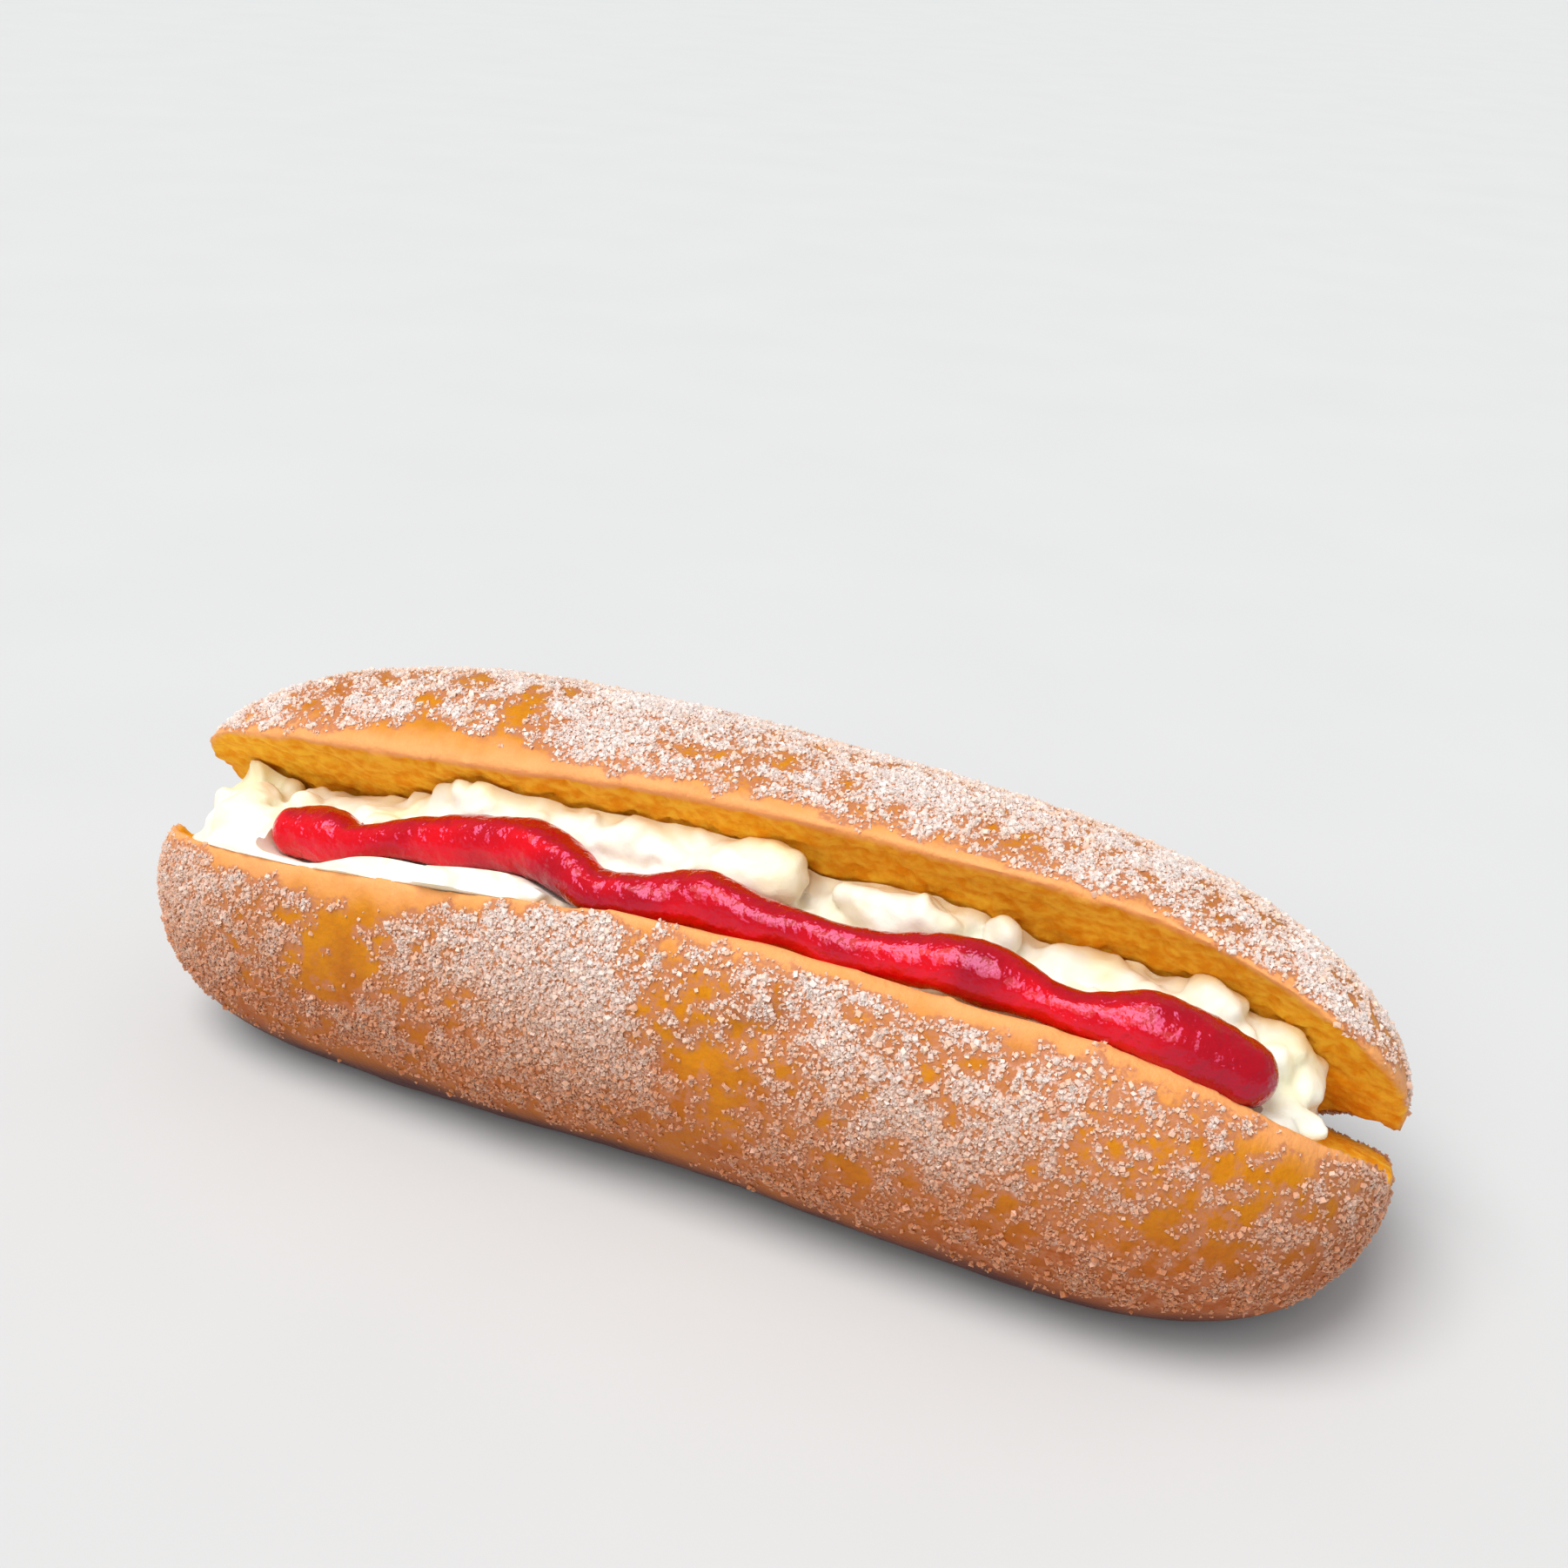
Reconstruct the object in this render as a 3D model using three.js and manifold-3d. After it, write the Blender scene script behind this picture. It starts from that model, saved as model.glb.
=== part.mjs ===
// A finger doughnut, split along one side and filled with whipped cream and a rope of jam.
// Millimetres, +Z up. X runs along the doughnut and the open side faces -Y.
import * as THREE from "three";
import { mergeVertices } from "three/addons/utils/BufferGeometryUtils.js";
import Module from "manifold-3d";

const wasm = await Module();
wasm.setup();

// ---- Driving dimensions -------------------------------------------------------------------

const LENGTH = 175;
const HALF_LENGTH = LENGTH / 2;
const CLEARANCE = 0.45; // between the pieces

// The bun before it is opened, given at even steps from the left end to the right end.
const HALF_WIDTH = [26.5, 27, 28, 29, 30];
const HALF_HEIGHT = [27.5, 27.5, 26.5, 25.5, 23.5];
const MIDDLE_HEIGHT = [21, 24, 25, 23, 20]; // of the section's middle above the table
const BEND = [-7, -1.5, 0, 0, -1]; // of the section's middle, backwards from the straight axis
const SQUARENESS = 2.4; // 2 is an ellipse, more is squarer
const LEFT_END = { bluntness: 3.5, roundness: 2.5 };
const RIGHT_END = { bluntness: 5.1, roundness: 2.1 };
const BASE_BLEND = 1.2; // the crust rounds into its flat base over this height

// The cut runs down and back from the front lip to the hinge line, where the crumb stays whole.
const HINGE = { y: 14.2, z: 16.1 };
const CUT_SLOPE = [25, 36, 30]; // degrees
const GAPE = [22, 20, 22]; // degrees that the lid is swung open
const CUT_WAVE = [1.2, -0.5, -1.2, -0.3, 0.7, 2.2, -1.3]; // unevenness of the knife's path
const PRESSED = { base: 2.4, lid: 0.7 }; // how far the filling has hollowed each cut face

// The cream, as what it leaves bare of each cut face, measured in from the lip.
const CREAM_START = -83;
const CREAM_END = 79;
const CREAM_ROOT = 5; // it starts this far from the hinge line
const BARE_BASE = [6, 1.5, 0.8, 0.8, 0.8, 0.8, 4, 9, 10, 10, 10, 10, 8, 6, 3, 3];
const BARE_LID = [9, 20, 14, 14, 6.5, 5.3, 4.2, 5.8, 6.5, 12, 8, 10, 16, 15, 10, 18];
// Lobes of cream: place along X, share of the way from base to lid, spread of each, and height.
const LOBES = [
  { x: -75, share: 0.25, length: 5, depth: 0.35, height: 2.6 },
  { x: -66, share: 0.75, length: 6, depth: 0.3, height: 2.2 },
  { x: -38, share: 0.8, length: 9, depth: 0.3, height: 1.2 },
  { x: -13, share: 0.85, length: 5, depth: 0.25, height: 2 },
  { x: -2, share: 0.6, length: 4, depth: 0.3, height: 2.4 },
  { x: 7, share: 0.8, length: 4.5, depth: 0.25, height: 3 },
  { x: 22, share: 0.6, length: 6, depth: 0.3, height: 2 },
  { x: 38, share: 0.85, length: 2.6, depth: 0.22, height: 3.2 },
  { x: 49, share: 0.55, length: 6, depth: 0.3, height: 1.8 },
  { x: 65, share: 0.85, length: 4.5, depth: 0.25, height: 2.6 },
  { x: 76, share: 0.55, length: 3.5, depth: 0.5, height: 2.4 },
];
// Small folds of the whipped cream: two slanting ripples, and one whose spacing comes and goes.
const RIPPLES = [
  { along: 0.9, across: 5, shift: 0, height: 0.35 },
  { along: 0.53, across: -7, shift: 1, height: 0.35 },
];
const UNEVEN_RIPPLE = { along: 1.7, swing: 3, swingAlong: 0.31, height: 0.28 };
const LOBE_FADE = 3; // how steeply the lobes start at the cut faces
const CREAM_INSIDE = { back: 1.5, lip: 0.5 }; // the cream stays this far inside the crust's rims

// The jam lies behind the front lip: place along X, height of its top over the lip, radius.
const JAM = [
  { x: -59, top: 8.2, radius: 3.2 },
  { x: -47, top: 7.5, radius: 2.3 },
  { x: -42, top: 8.5, radius: 2.8 },
  { x: -35, top: 8.7, radius: 2.9 },
  { x: -25, top: 10.3, radius: 3.1 },
  { x: -17, top: 7.3, radius: 3.1 },
  { x: -13, top: 5, radius: 2.5 },
  { x: -6, top: 4.5, radius: 2.3 },
  { x: 2, top: 7.4, radius: 3.8 },
  { x: 6, top: 6.2, radius: 3.6 },
  { x: 14, top: 4.9, radius: 2.3 },
  { x: 23, top: 4.6, radius: 2.4 },
  { x: 38, top: 6.9, radius: 3.1 },
  { x: 42, top: 5.4, radius: 2.8 },
  { x: 50, top: 3.5, radius: 2 },
  { x: 55, top: 4.8, radius: 3.1 },
  { x: 59, top: 6.9, radius: 3.8 },
  { x: 70, top: 7.3, radius: 4 },
];
const JAM_SETBACK = { start: 0.8, perRadius: 0.9, perRise: 0.29 }; // of its middle, from the lip
const MOUTH_TILT = THREE.MathUtils.degToRad(30); // the way into the mouth falls by this much

// ---- Fineness of the faceted surfaces -------------------------------------------------------

const BUN_RINGS = 50;
const BUN_SIDES = 44;
const CUT_STEPS = 40;
const CUT_FACETS = 10;
const CREAM_RINGS = 76;
const CREAM_FRONT_FACETS = 9;
const CREAM_SIDE_FACETS = 4;
const JAM_RINGS = 74;
const JAM_SIDES = 12;
const JAM_CAP_RINGS = 4;
const JAM_CAP_END = 0.93; // the last ring of a cap is this share of the way round to its tip
const TIP_RING = 0.9995; // the bun's last rings lie at this share of its half length
const RIM_SEARCH = { from: -20, to: 55, fineness: 0.05 };
const CUTTER = { back: -45, front: 70, far: 90, past: 2 }; // how far the cutting solid reaches

// ---- Helpers ----------------------------------------------------------------------------------

const { clamp, degToRad, lerp } = THREE.MathUtils;

// A smooth function of x, from -HALF_LENGTH to HALF_LENGTH, through evenly spaced values.
function along(values, start = -HALF_LENGTH, end = HALF_LENGTH) {
  const curve = new THREE.SplineCurve(values.map((value, i) => new THREE.Vector2(i, value)));
  return (x) => curve.getPoint(clamp((x - start) / (end - start), 0, 1)).y;
}

// A closed solid through rings of points, all with the same count, that follow each other along +X
// and run from +Y towards +Z. Its first and last rings are closed to their middles.
function solidOfRings(rings) {
  const sides = rings[0].length;
  const middle = (ring) =>
    ring.reduce((sum, point) => sum.add(point), new THREE.Vector3()).divideScalar(sides);
  const points = [...rings.flat(), middle(rings[0]), middle(rings.at(-1))];
  const [startMiddle, endMiddle] = [points.length - 2, points.length - 1];
  const lastRing = (rings.length - 1) * sides;
  const index = [];
  for (let side = 0; side < sides; side++) {
    const next = (side + 1) % sides;
    for (let ring = 0; ring < lastRing; ring += sides) {
      const [a, b, c, d] = [ring + side, ring + next, ring + sides + next, ring + sides + side];
      index.push(a, b, c, a, c, d);
    }
    index.push(startMiddle, next, side);
    index.push(endMiddle, lastRing + side, lastRing + next);
  }
  const geometry = new THREE.BufferGeometry().setFromPoints(points).setIndex(index);
  return solidOf(geometry);
}

function solidOf(geometry) {
  const merged = mergeVertices(geometry, 1e-4);
  return new wasm.Manifold(
    new wasm.Mesh({
      numProp: 3,
      vertProperties: merged.getAttribute("position").array,
      triVerts: new Uint32Array(merged.index.array),
    }),
  );
}

function geometryOf(solid) {
  const mesh = solid.getMesh();
  const geometry = new THREE.BufferGeometry();
  geometry.setAttribute("position", new THREE.BufferAttribute(mesh.vertProperties, 3));
  geometry.setIndex(new THREE.BufferAttribute(mesh.triVerts, 1));
  geometry.computeVertexNormals();
  return geometry;
}

// The largest of a solid's separate bodies, so that a scrap left by a cut is dropped.
function mainBody(solid) {
  return solid.decompose().reduce((best, body) => (body.volume() > best.volume() ? body : best));
}

// ---- The bun before it is cut -----------------------------------------------------------------

const halfWidth = along(HALF_WIDTH);
const halfHeight = along(HALF_HEIGHT);
const middleHeight = along(MIDDLE_HEIGHT);
const bend = along(BEND);

// How much of its full section the bun has at x: 1 in the middle and 0 at the two ends.
function fullness(x) {
  const { bluntness, roundness } = x < 0 ? LEFT_END : RIGHT_END;
  return (1 - Math.abs(x / HALF_LENGTH) ** bluntness) ** (1 / roundness);
}

const rounded = (value) => Math.sign(value) * Math.abs(value) ** (2 / SQUARENESS);

// The table stops the crust at z = 0, and the crust rounds into that flat base.
function restOnTable(z) {
  if (z < -BASE_BLEND) return 0;
  return z > BASE_BLEND ? z : (z + BASE_BLEND) ** 2 / (4 * BASE_BLEND);
}

function bunPoint(x, angle) {
  const y = bend(x) + halfWidth(x) * fullness(x) * rounded(Math.cos(angle));
  const z = middleHeight(x) + halfHeight(x) * fullness(x) * rounded(Math.sin(angle));
  return new THREE.Vector3(x, y, restOnTable(z));
}

function makeBun() {
  const rings = [];
  for (let i = 0; i <= BUN_RINGS; i++) {
    const x = HALF_LENGTH * TIP_RING * Math.sin(Math.PI * (i / BUN_RINGS - 0.5));
    rings.push(
      Array.from({ length: BUN_SIDES }, (_, side) => bunPoint(x, (2 * Math.PI * side) / BUN_SIDES)),
    );
  }
  return solidOfRings(rings);
}

// ---- The cut and the opened mouth ---------------------------------------------------------------

const cutSlope = along(CUT_SLOPE);
const gape = along(GAPE);
const cutWave = along(CUT_WAVE);

// A point of the cut before the bun is opened: reach is measured from the hinge line towards the
// front lip, and lift is measured upwards, square to the cut.
function cutPoint(x, reach, lift) {
  const slope = degToRad(cutSlope(x));
  const rise = cutWave(x) + lift;
  return new THREE.Vector3(
    x,
    HINGE.y - reach * Math.cos(slope) + rise * Math.sin(slope),
    HINGE.z + reach * Math.sin(slope) + rise * Math.cos(slope),
  );
}

function swungOpen(point) {
  const swing = -degToRad(gape(point.x));
  const y = point.y - HINGE.y;
  const z = point.z - HINGE.z;
  return new THREE.Vector3(
    point.x,
    HINGE.y + y * Math.cos(swing) - z * Math.sin(swing),
    HINGE.z + y * Math.sin(swing) + z * Math.cos(swing),
  );
}

// Where the crust meets the cut at x, as reaches from the hinge line: back rim and front lip.
function cutRims(x) {
  const across = halfWidth(x) * fullness(x);
  const upwards = halfHeight(x) * fullness(x);
  const start = cutPoint(x, 0, 0);
  const step = cutPoint(x, 1, 0).sub(start);
  const [middleY, middleZ] = [bend(x), middleHeight(x)];
  const inside = (reach) => {
    const y = Math.abs((start.y + reach * step.y - middleY) / across);
    const z = Math.abs((start.z + reach * step.z - middleZ) / upwards);
    return y ** SQUARENESS + z ** SQUARENESS < 1;
  };
  const { from, to, fineness } = RIM_SEARCH;
  let [back, lip] = [to, from];
  for (let reach = from; reach < to; reach += fineness) {
    if (!inside(reach)) continue;
    back = Math.min(back, reach);
    lip = reach;
  }
  return { back, lip };
}

// The filling has pressed each cut face hollow, most of all four fifths of the way to the lip.
const hollow = (reach, lip) => Math.sin(Math.PI * clamp(reach / lip, 0, 1) ** 3);

// Half of space, on one side of the cut: towards is 1 for above it and -1 for below it.
function sideOfCut(towards) {
  const { back, front, far, past } = CUTTER;
  const pressed = towards > 0 ? -PRESSED.base : PRESSED.lid;
  const rings = [];
  for (let i = 0; i <= CUT_STEPS; i++) {
    const x = lerp(-HALF_LENGTH - past, HALF_LENGTH + past, i / CUT_STEPS);
    const { lip } = cutRims(clamp(x, 1 - HALF_LENGTH, HALF_LENGTH - 1));
    const ring = [cutPoint(x, back, 0)];
    for (let facet = 0; facet <= CUT_FACETS; facet++) {
      const reach = (lip * facet) / CUT_FACETS;
      ring.push(cutPoint(x, reach, pressed * hollow(reach, lip)));
    }
    ring.push(cutPoint(x, front, 0));
    ring.push(cutPoint(x, front, far * towards));
    ring.push(cutPoint(x, back, far * towards));
    rings.push(towards > 0 ? ring.reverse() : ring);
  }
  return solidOfRings(rings);
}

function makeDough() {
  const bun = makeBun();
  const base = bun.subtract(sideOfCut(1));
  const lid = geometryOf(bun.subtract(sideOfCut(-1)));
  const position = lid.getAttribute("position");
  for (let i = 0; i < position.count; i++) {
    const point = swungOpen(new THREE.Vector3().fromBufferAttribute(position, i));
    position.setXYZ(i, point.x, point.y, point.z);
  }
  return mainBody(base.add(solidOf(lid.deleteAttribute("normal"))));
}

// A point in the mouth: share runs from 0 on the base's cut face to 1 on the lid's.
function mouthPoint(x, reach, share, lip) {
  const depth = hollow(reach, lip);
  const onBase = cutPoint(x, reach, CLEARANCE - PRESSED.base * depth);
  const onLid = swungOpen(cutPoint(x, reach, PRESSED.lid * depth - CLEARANCE));
  return onBase.lerp(onLid, share);
}

// ---- The jam ------------------------------------------------------------------------------------

// The jam's rope at x: its middle and its radius.
function jamAt(x) {
  const after = Math.max(1, JAM.findIndex((row) => row.x >= x));
  const [from, to] = [JAM[after - 1], JAM[after]];
  const share = THREE.MathUtils.smoothstep(x, from.x, to.x);
  const radius = lerp(from.radius, to.radius, share);
  const rise = lerp(from.top, to.top, share) - radius;
  const setback = JAM_SETBACK.start + JAM_SETBACK.perRadius * radius + JAM_SETBACK.perRise * rise;
  const lip = cutPoint(x, cutRims(x).lip, 0);
  const y = lip.y + setback * Math.cos(MOUTH_TILT) + rise * Math.sin(MOUTH_TILT);
  const z = lip.z - setback * Math.sin(MOUTH_TILT) + rise * Math.cos(MOUTH_TILT);
  return { middle: new THREE.Vector3(x, y, z), radius };
}

// A ring of points round the rope, square to its direction.
function jamRing(middle, direction, radius) {
  const across = new THREE.Vector3(0, 1, 0).cross(direction).normalize();
  const side = new THREE.Vector3().crossVectors(direction, across);
  return Array.from({ length: JAM_SIDES }, (_, i) => {
    const angle = (2 * Math.PI * i) / JAM_SIDES;
    const point = middle.clone().addScaledVector(side, radius * Math.cos(angle));
    return point.addScaledVector(across, -radius * Math.sin(angle));
  });
}

// The rings of a round end, from the rope outwards.
function jamCap(middle, direction, radius) {
  return Array.from({ length: JAM_CAP_RINGS }, (_, i) => {
    const turn = ((i + 1) / JAM_CAP_RINGS) * JAM_CAP_END * (Math.PI / 2);
    const ringMiddle = middle.clone().addScaledVector(direction, radius * Math.sin(turn));
    return { middle: ringMiddle, radius: radius * Math.cos(turn) };
  });
}

function makeJam(extraRadius = 0) {
  const rows = Array.from({ length: JAM_RINGS }, (_, i) => {
    const { middle, radius } = jamAt(lerp(JAM[0].x, JAM.at(-1).x, i / (JAM_RINGS - 1)));
    return { middle, radius: radius + extraRadius };
  });
  const path = new THREE.CatmullRomCurve3(rows.map((row) => row.middle));
  const [startWay, endWay] = [path.getTangent(0), path.getTangent(1)];
  const [first, last] = [rows[0], rows.at(-1)];
  const startCap = jamCap(first.middle, startWay.clone().negate(), first.radius).reverse();
  const endCap = jamCap(last.middle, endWay, last.radius);
  return solidOfRings([
    ...startCap.map((row) => jamRing(row.middle, startWay, row.radius)),
    ...rows.map((row, i) => jamRing(row.middle, path.getTangent(i / (JAM_RINGS - 1)), row.radius)),
    ...endCap.map((row) => jamRing(row.middle, endWay, row.radius)),
  ]);
}

// ---- The cream ------------------------------------------------------------------------------------

const bareBase = along(BARE_BASE, CREAM_START, CREAM_END);
const bareLid = along(BARE_LID, CREAM_START, CREAM_END);

function folds(x, share) {
  const { along: pace, swing, swingAlong, height } = UNEVEN_RIPPLE;
  return RIPPLES.reduce(
    (sum, ripple) => sum + ripple.height * Math.sin(ripple.along * x + ripple.across * share + ripple.shift),
    height * Math.sin(pace * x + swing * Math.sin(swingAlong * x)),
  );
}

function lobes(x, share) {
  return LOBES.reduce((sum, lobe) => {
    const distance = ((x - lobe.x) / lobe.length) ** 2 + ((share - lobe.share) / lobe.depth) ** 2;
    return sum + lobe.height * Math.exp(-distance);
  }, 0);
}

function makeCream() {
  const rings = [];
  for (let i = 0; i <= CREAM_RINGS; i++) {
    const x = lerp(CREAM_START, CREAM_END, i / CREAM_RINGS);
    const { back, lip } = cutRims(x);
    const root = Math.max(CREAM_ROOT, back + CREAM_INSIDE.back);
    const ring = [];
    for (let facet = 0; facet < CREAM_SIDE_FACETS; facet++) {
      const reach = lerp(root, lip - bareLid(x), facet / CREAM_SIDE_FACETS);
      ring.push(mouthPoint(x, reach, 1, lip));
    }
    for (let facet = 0; facet <= CREAM_FRONT_FACETS; facet++) {
      const share = 1 - facet / CREAM_FRONT_FACETS;
      const loose = Math.sin(Math.PI * share); // the front is free between the two cut faces
      const edge = lerp(lip - bareBase(x), lip - bareLid(x), share);
      const swell = lobes(x, share) * clamp(loose * LOBE_FADE, 0, 1);
      const reach = edge + loose * folds(x, share) + swell;
      ring.push(mouthPoint(x, Math.min(reach, lip - CREAM_INSIDE.lip), share, lip));
    }
    for (let facet = CREAM_SIDE_FACETS - 1; facet >= 0; facet--) {
      const reach = lerp(root, lip - bareBase(x), facet / CREAM_SIDE_FACETS);
      ring.push(mouthPoint(x, reach, 0, lip));
    }
    rings.push(ring);
  }
  return mainBody(solidOfRings(rings).subtract(makeJam(CLEARANCE)));
}

// ---- The doughnut, centred over its footprint -----------------------------------------------------

const crust = new THREE.MeshStandardMaterial({ color: 0xcf8d45, roughness: 0.75, metalness: 0 });
const whippedCream = new THREE.MeshStandardMaterial({ color: 0xfbf3dc, roughness: 0.5, metalness: 0 });
const redJam = new THREE.MeshStandardMaterial({ color: 0xc2060f, roughness: 0.12, metalness: 0 });

function named(name, solid, material) {
  const mesh = new THREE.Mesh(geometryOf(solid), material);
  mesh.name = name;
  return mesh;
}

const doughnut = new THREE.Group();
doughnut.add(
  named("dough", makeDough(), crust),
  named("cream", makeCream(), whippedCream),
  named("jam", makeJam(), redJam),
);
const footprint = new THREE.Box3().setFromObject(doughnut).getCenter(new THREE.Vector3());
doughnut.position.set(-footprint.x, -footprint.y, 0);

export default doughnut;
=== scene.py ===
# %% [markdown]
# # A split finger doughnut, filled with cream and jam
#
# A finger doughnut is a long bun of yeast dough that is fried, rolled in sugar, slit along one
# side and opened. Whipped cream goes into the mouth, and a rope of jam is piped along its front.
#
# The construction is already fixed: three solids named dough, cream and jam, in real sizes. This
# script gives each of them a finer twin that replaces it. All shapes come from a few measured
# sizes and formulas, in millimetres, which are turned into Blender's metres when a mesh is made.

import math

import bmesh
import bpy
import numpy as np
from mathutils import Matrix, Vector, noise


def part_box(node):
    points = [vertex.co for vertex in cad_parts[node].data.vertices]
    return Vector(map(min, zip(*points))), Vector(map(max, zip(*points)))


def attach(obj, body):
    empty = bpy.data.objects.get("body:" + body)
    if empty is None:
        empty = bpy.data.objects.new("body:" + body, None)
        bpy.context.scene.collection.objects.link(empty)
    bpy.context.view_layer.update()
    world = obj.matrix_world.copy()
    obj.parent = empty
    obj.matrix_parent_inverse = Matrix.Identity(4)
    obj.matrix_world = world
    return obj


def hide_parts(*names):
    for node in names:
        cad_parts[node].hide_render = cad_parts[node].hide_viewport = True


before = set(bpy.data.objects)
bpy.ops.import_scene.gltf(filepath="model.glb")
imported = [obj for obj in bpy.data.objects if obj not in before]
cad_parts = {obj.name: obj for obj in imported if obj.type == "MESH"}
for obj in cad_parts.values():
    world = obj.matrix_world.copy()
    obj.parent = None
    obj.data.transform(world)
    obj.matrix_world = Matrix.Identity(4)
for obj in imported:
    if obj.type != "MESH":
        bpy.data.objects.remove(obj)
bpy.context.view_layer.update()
MM = 0.001
print("nodes:", sorted(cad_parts))

# %% [markdown]
# ## Camera
#
# A doughnut on a table is seen from a little above, from in front of its open side and from
# beyond its right end. The near end then looks larger than the far one. A camera could be aimed
# with a constraint at an empty. Here its place and three turns are given directly, because the
# small roll, which makes the doughnut lie more steeply across the picture, needs its own value.

# %% Camera
CAMERA_PLACE = Vector((0.0975, -0.2203, 0.1604))  # in metres
CAMERA_TURN = math.radians(23.2)  # round the upright axis, from looking along +Y
CAMERA_DIP = math.radians(24.41)  # downwards
CAMERA_ROLL = math.radians(3.66)
CAMERA_LENS = 46.26  # in millimetres, for a sensor 36 mm wide

camera_data = bpy.data.cameras.new("camera")
camera_data.lens = CAMERA_LENS
camera = bpy.data.objects.new("camera", camera_data)
bpy.context.scene.collection.objects.link(camera)
turned = Matrix.Rotation(CAMERA_TURN, 4, "Z") @ Matrix.Rotation(math.pi / 2 - CAMERA_DIP, 4, "X")
camera.matrix_world = (
    Matrix.Translation(CAMERA_PLACE) @ turned @ Matrix.Rotation(CAMERA_ROLL, 4, "Z")
)
bpy.context.scene.camera = camera
print("camera distance in mm:", round(CAMERA_PLACE.length / MM))

# %% [markdown]
# ## The bun before it is cut
#
# A fried finger bun is a rounded bar. Its width, height and middle change slowly along its
# length, and its two ends close in different ways: one blunt, one rounder. A sculpted sausage
# would do, but a formula keeps the bun the same as its solid. The section is a superellipse,
# which is a little squarer than an ellipse, and the table flattens its underside.

# %% The bun before it is cut
LENGTH = 175
HALF_LENGTH = LENGTH / 2
HALF_WIDTH = [26.5, 27, 28, 29, 30]  # at even steps from the left end to the right end
HALF_HEIGHT = [27.5, 27.5, 26.5, 25.5, 23.5]
MIDDLE_HEIGHT = [21, 24, 25, 23, 20]
BEND = [-7, -1.5, 0, 0, -1]
SQUARENESS = 2.4
LEFT_END = (3.5, 2.5)  # bluntness and roundness
RIGHT_END = (5.1, 2.1)
BASE_BLEND = 1.2  # how softly the flat underside begins
TIP_RING = 0.9995  # where the last rings are, as a share of the half length
BUN_RINGS = 260
BUN_SIDES = 200


def along(values, start=-HALF_LENGTH, end=HALF_LENGTH):
    """A smooth function of x through evenly spaced values (a Catmull-Rom curve)."""
    values = np.array(values, float)
    last = len(values) - 1

    def at(x):
        place = np.clip((np.asarray(x, float) - start) / (end - start), 0, 1) * last
        step = np.minimum(place.astype(int), last - 1)
        t = place - step
        before, here, after, beyond = (values[np.clip(step + k, 0, last)] for k in (-1, 0, 1, 2))
        leave = (after - before) / 2
        arrive = (beyond - here) / 2
        bow = (2 * here - 2 * after + leave + arrive) * t**3
        return bow + (3 * after - 3 * here - 2 * leave - arrive) * t**2 + leave * t + here

    return at


half_width = along(HALF_WIDTH)
half_height = along(HALF_HEIGHT)
middle_height = along(MIDDLE_HEIGHT)
bend = along(BEND)


def fullness(x):
    """How much of its full section the bun has at x."""
    x = np.asarray(x, float)
    bluntness = np.where(x < 0, LEFT_END[0], RIGHT_END[0])
    roundness = np.where(x < 0, LEFT_END[1], RIGHT_END[1])
    return np.clip(1 - np.abs(x / HALF_LENGTH) ** bluntness, 0, 1) ** (1 / roundness)


def rounded(value):
    """A circle's sine or cosine, made a superellipse's."""
    return np.sign(value) * np.abs(value) ** (2 / SQUARENESS)


def rest_on_table(z):
    """Heights, with what would be below the table pressed flat on it."""
    blended = np.clip(z + BASE_BLEND, 0, None) ** 2 / (4 * BASE_BLEND)
    return np.where(z > BASE_BLEND, z, blended)


def bun_rings():
    """Rings round the whole bun, closer together towards its ends."""
    x = HALF_LENGTH * TIP_RING * np.sin(np.linspace(-np.pi / 2, np.pi / 2, BUN_RINGS))[:, None]
    angle = np.linspace(0, 2 * np.pi, BUN_SIDES, endpoint=False)[None, :]
    y = bend(x) + half_width(x) * fullness(x) * rounded(np.cos(angle))
    z = middle_height(x) + half_height(x) * fullness(x) * rounded(np.sin(angle))
    return np.stack([np.broadcast_to(x, y.shape), y, rest_on_table(z)], axis=-1)


bun = bun_rings()
print("bun in mm:", np.ptp(bun.reshape(-1, 3), axis=0).round(1))

# %% [markdown]
# ## The cut and the opened mouth
#
# The knife goes in at the front and stops before the back, so the crumb stays whole along a
# hinge line. A point of the cut is found by its reach from that line towards the front lip, and
# by its lift above the cut. To open the bun, everything above the cut swings up round the hinge
# line. The wave is the unevenness of the knife's path.

# %% The cut and the opened mouth
HINGE_Y = 14.2
HINGE_Z = 16.1
CUT_SLOPE = [25, 36, 30]  # degrees
GAPE = [22, 20, 22]  # degrees
CUT_WAVE = [1.2, -0.5, -1.2, -0.3, 0.7, 2.2, -1.3]

slope = along(np.radians(CUT_SLOPE))
gape = along(np.radians(GAPE))
cut_wave = along(CUT_WAVE)


def cut_point(x, reach, lift):
    """The point with this reach towards the lip and this lift over the cut."""
    x, reach, lift = np.broadcast_arrays(x, reach, lift)
    rise = cut_wave(x) + lift
    y = HINGE_Y - reach * np.cos(slope(x)) + rise * np.sin(slope(x))
    z = HINGE_Z + reach * np.sin(slope(x)) + rise * np.cos(slope(x))
    return np.stack([x, y, z], axis=-1)


def reach_and_lift(points):
    """The opposite of cut_point."""
    x = points[..., 0]
    y = points[..., 1] - HINGE_Y
    z = points[..., 2] - HINGE_Z
    reach = -y * np.cos(slope(x)) + z * np.sin(slope(x))
    return reach, y * np.sin(slope(x)) + z * np.cos(slope(x)) - cut_wave(x)


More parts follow.
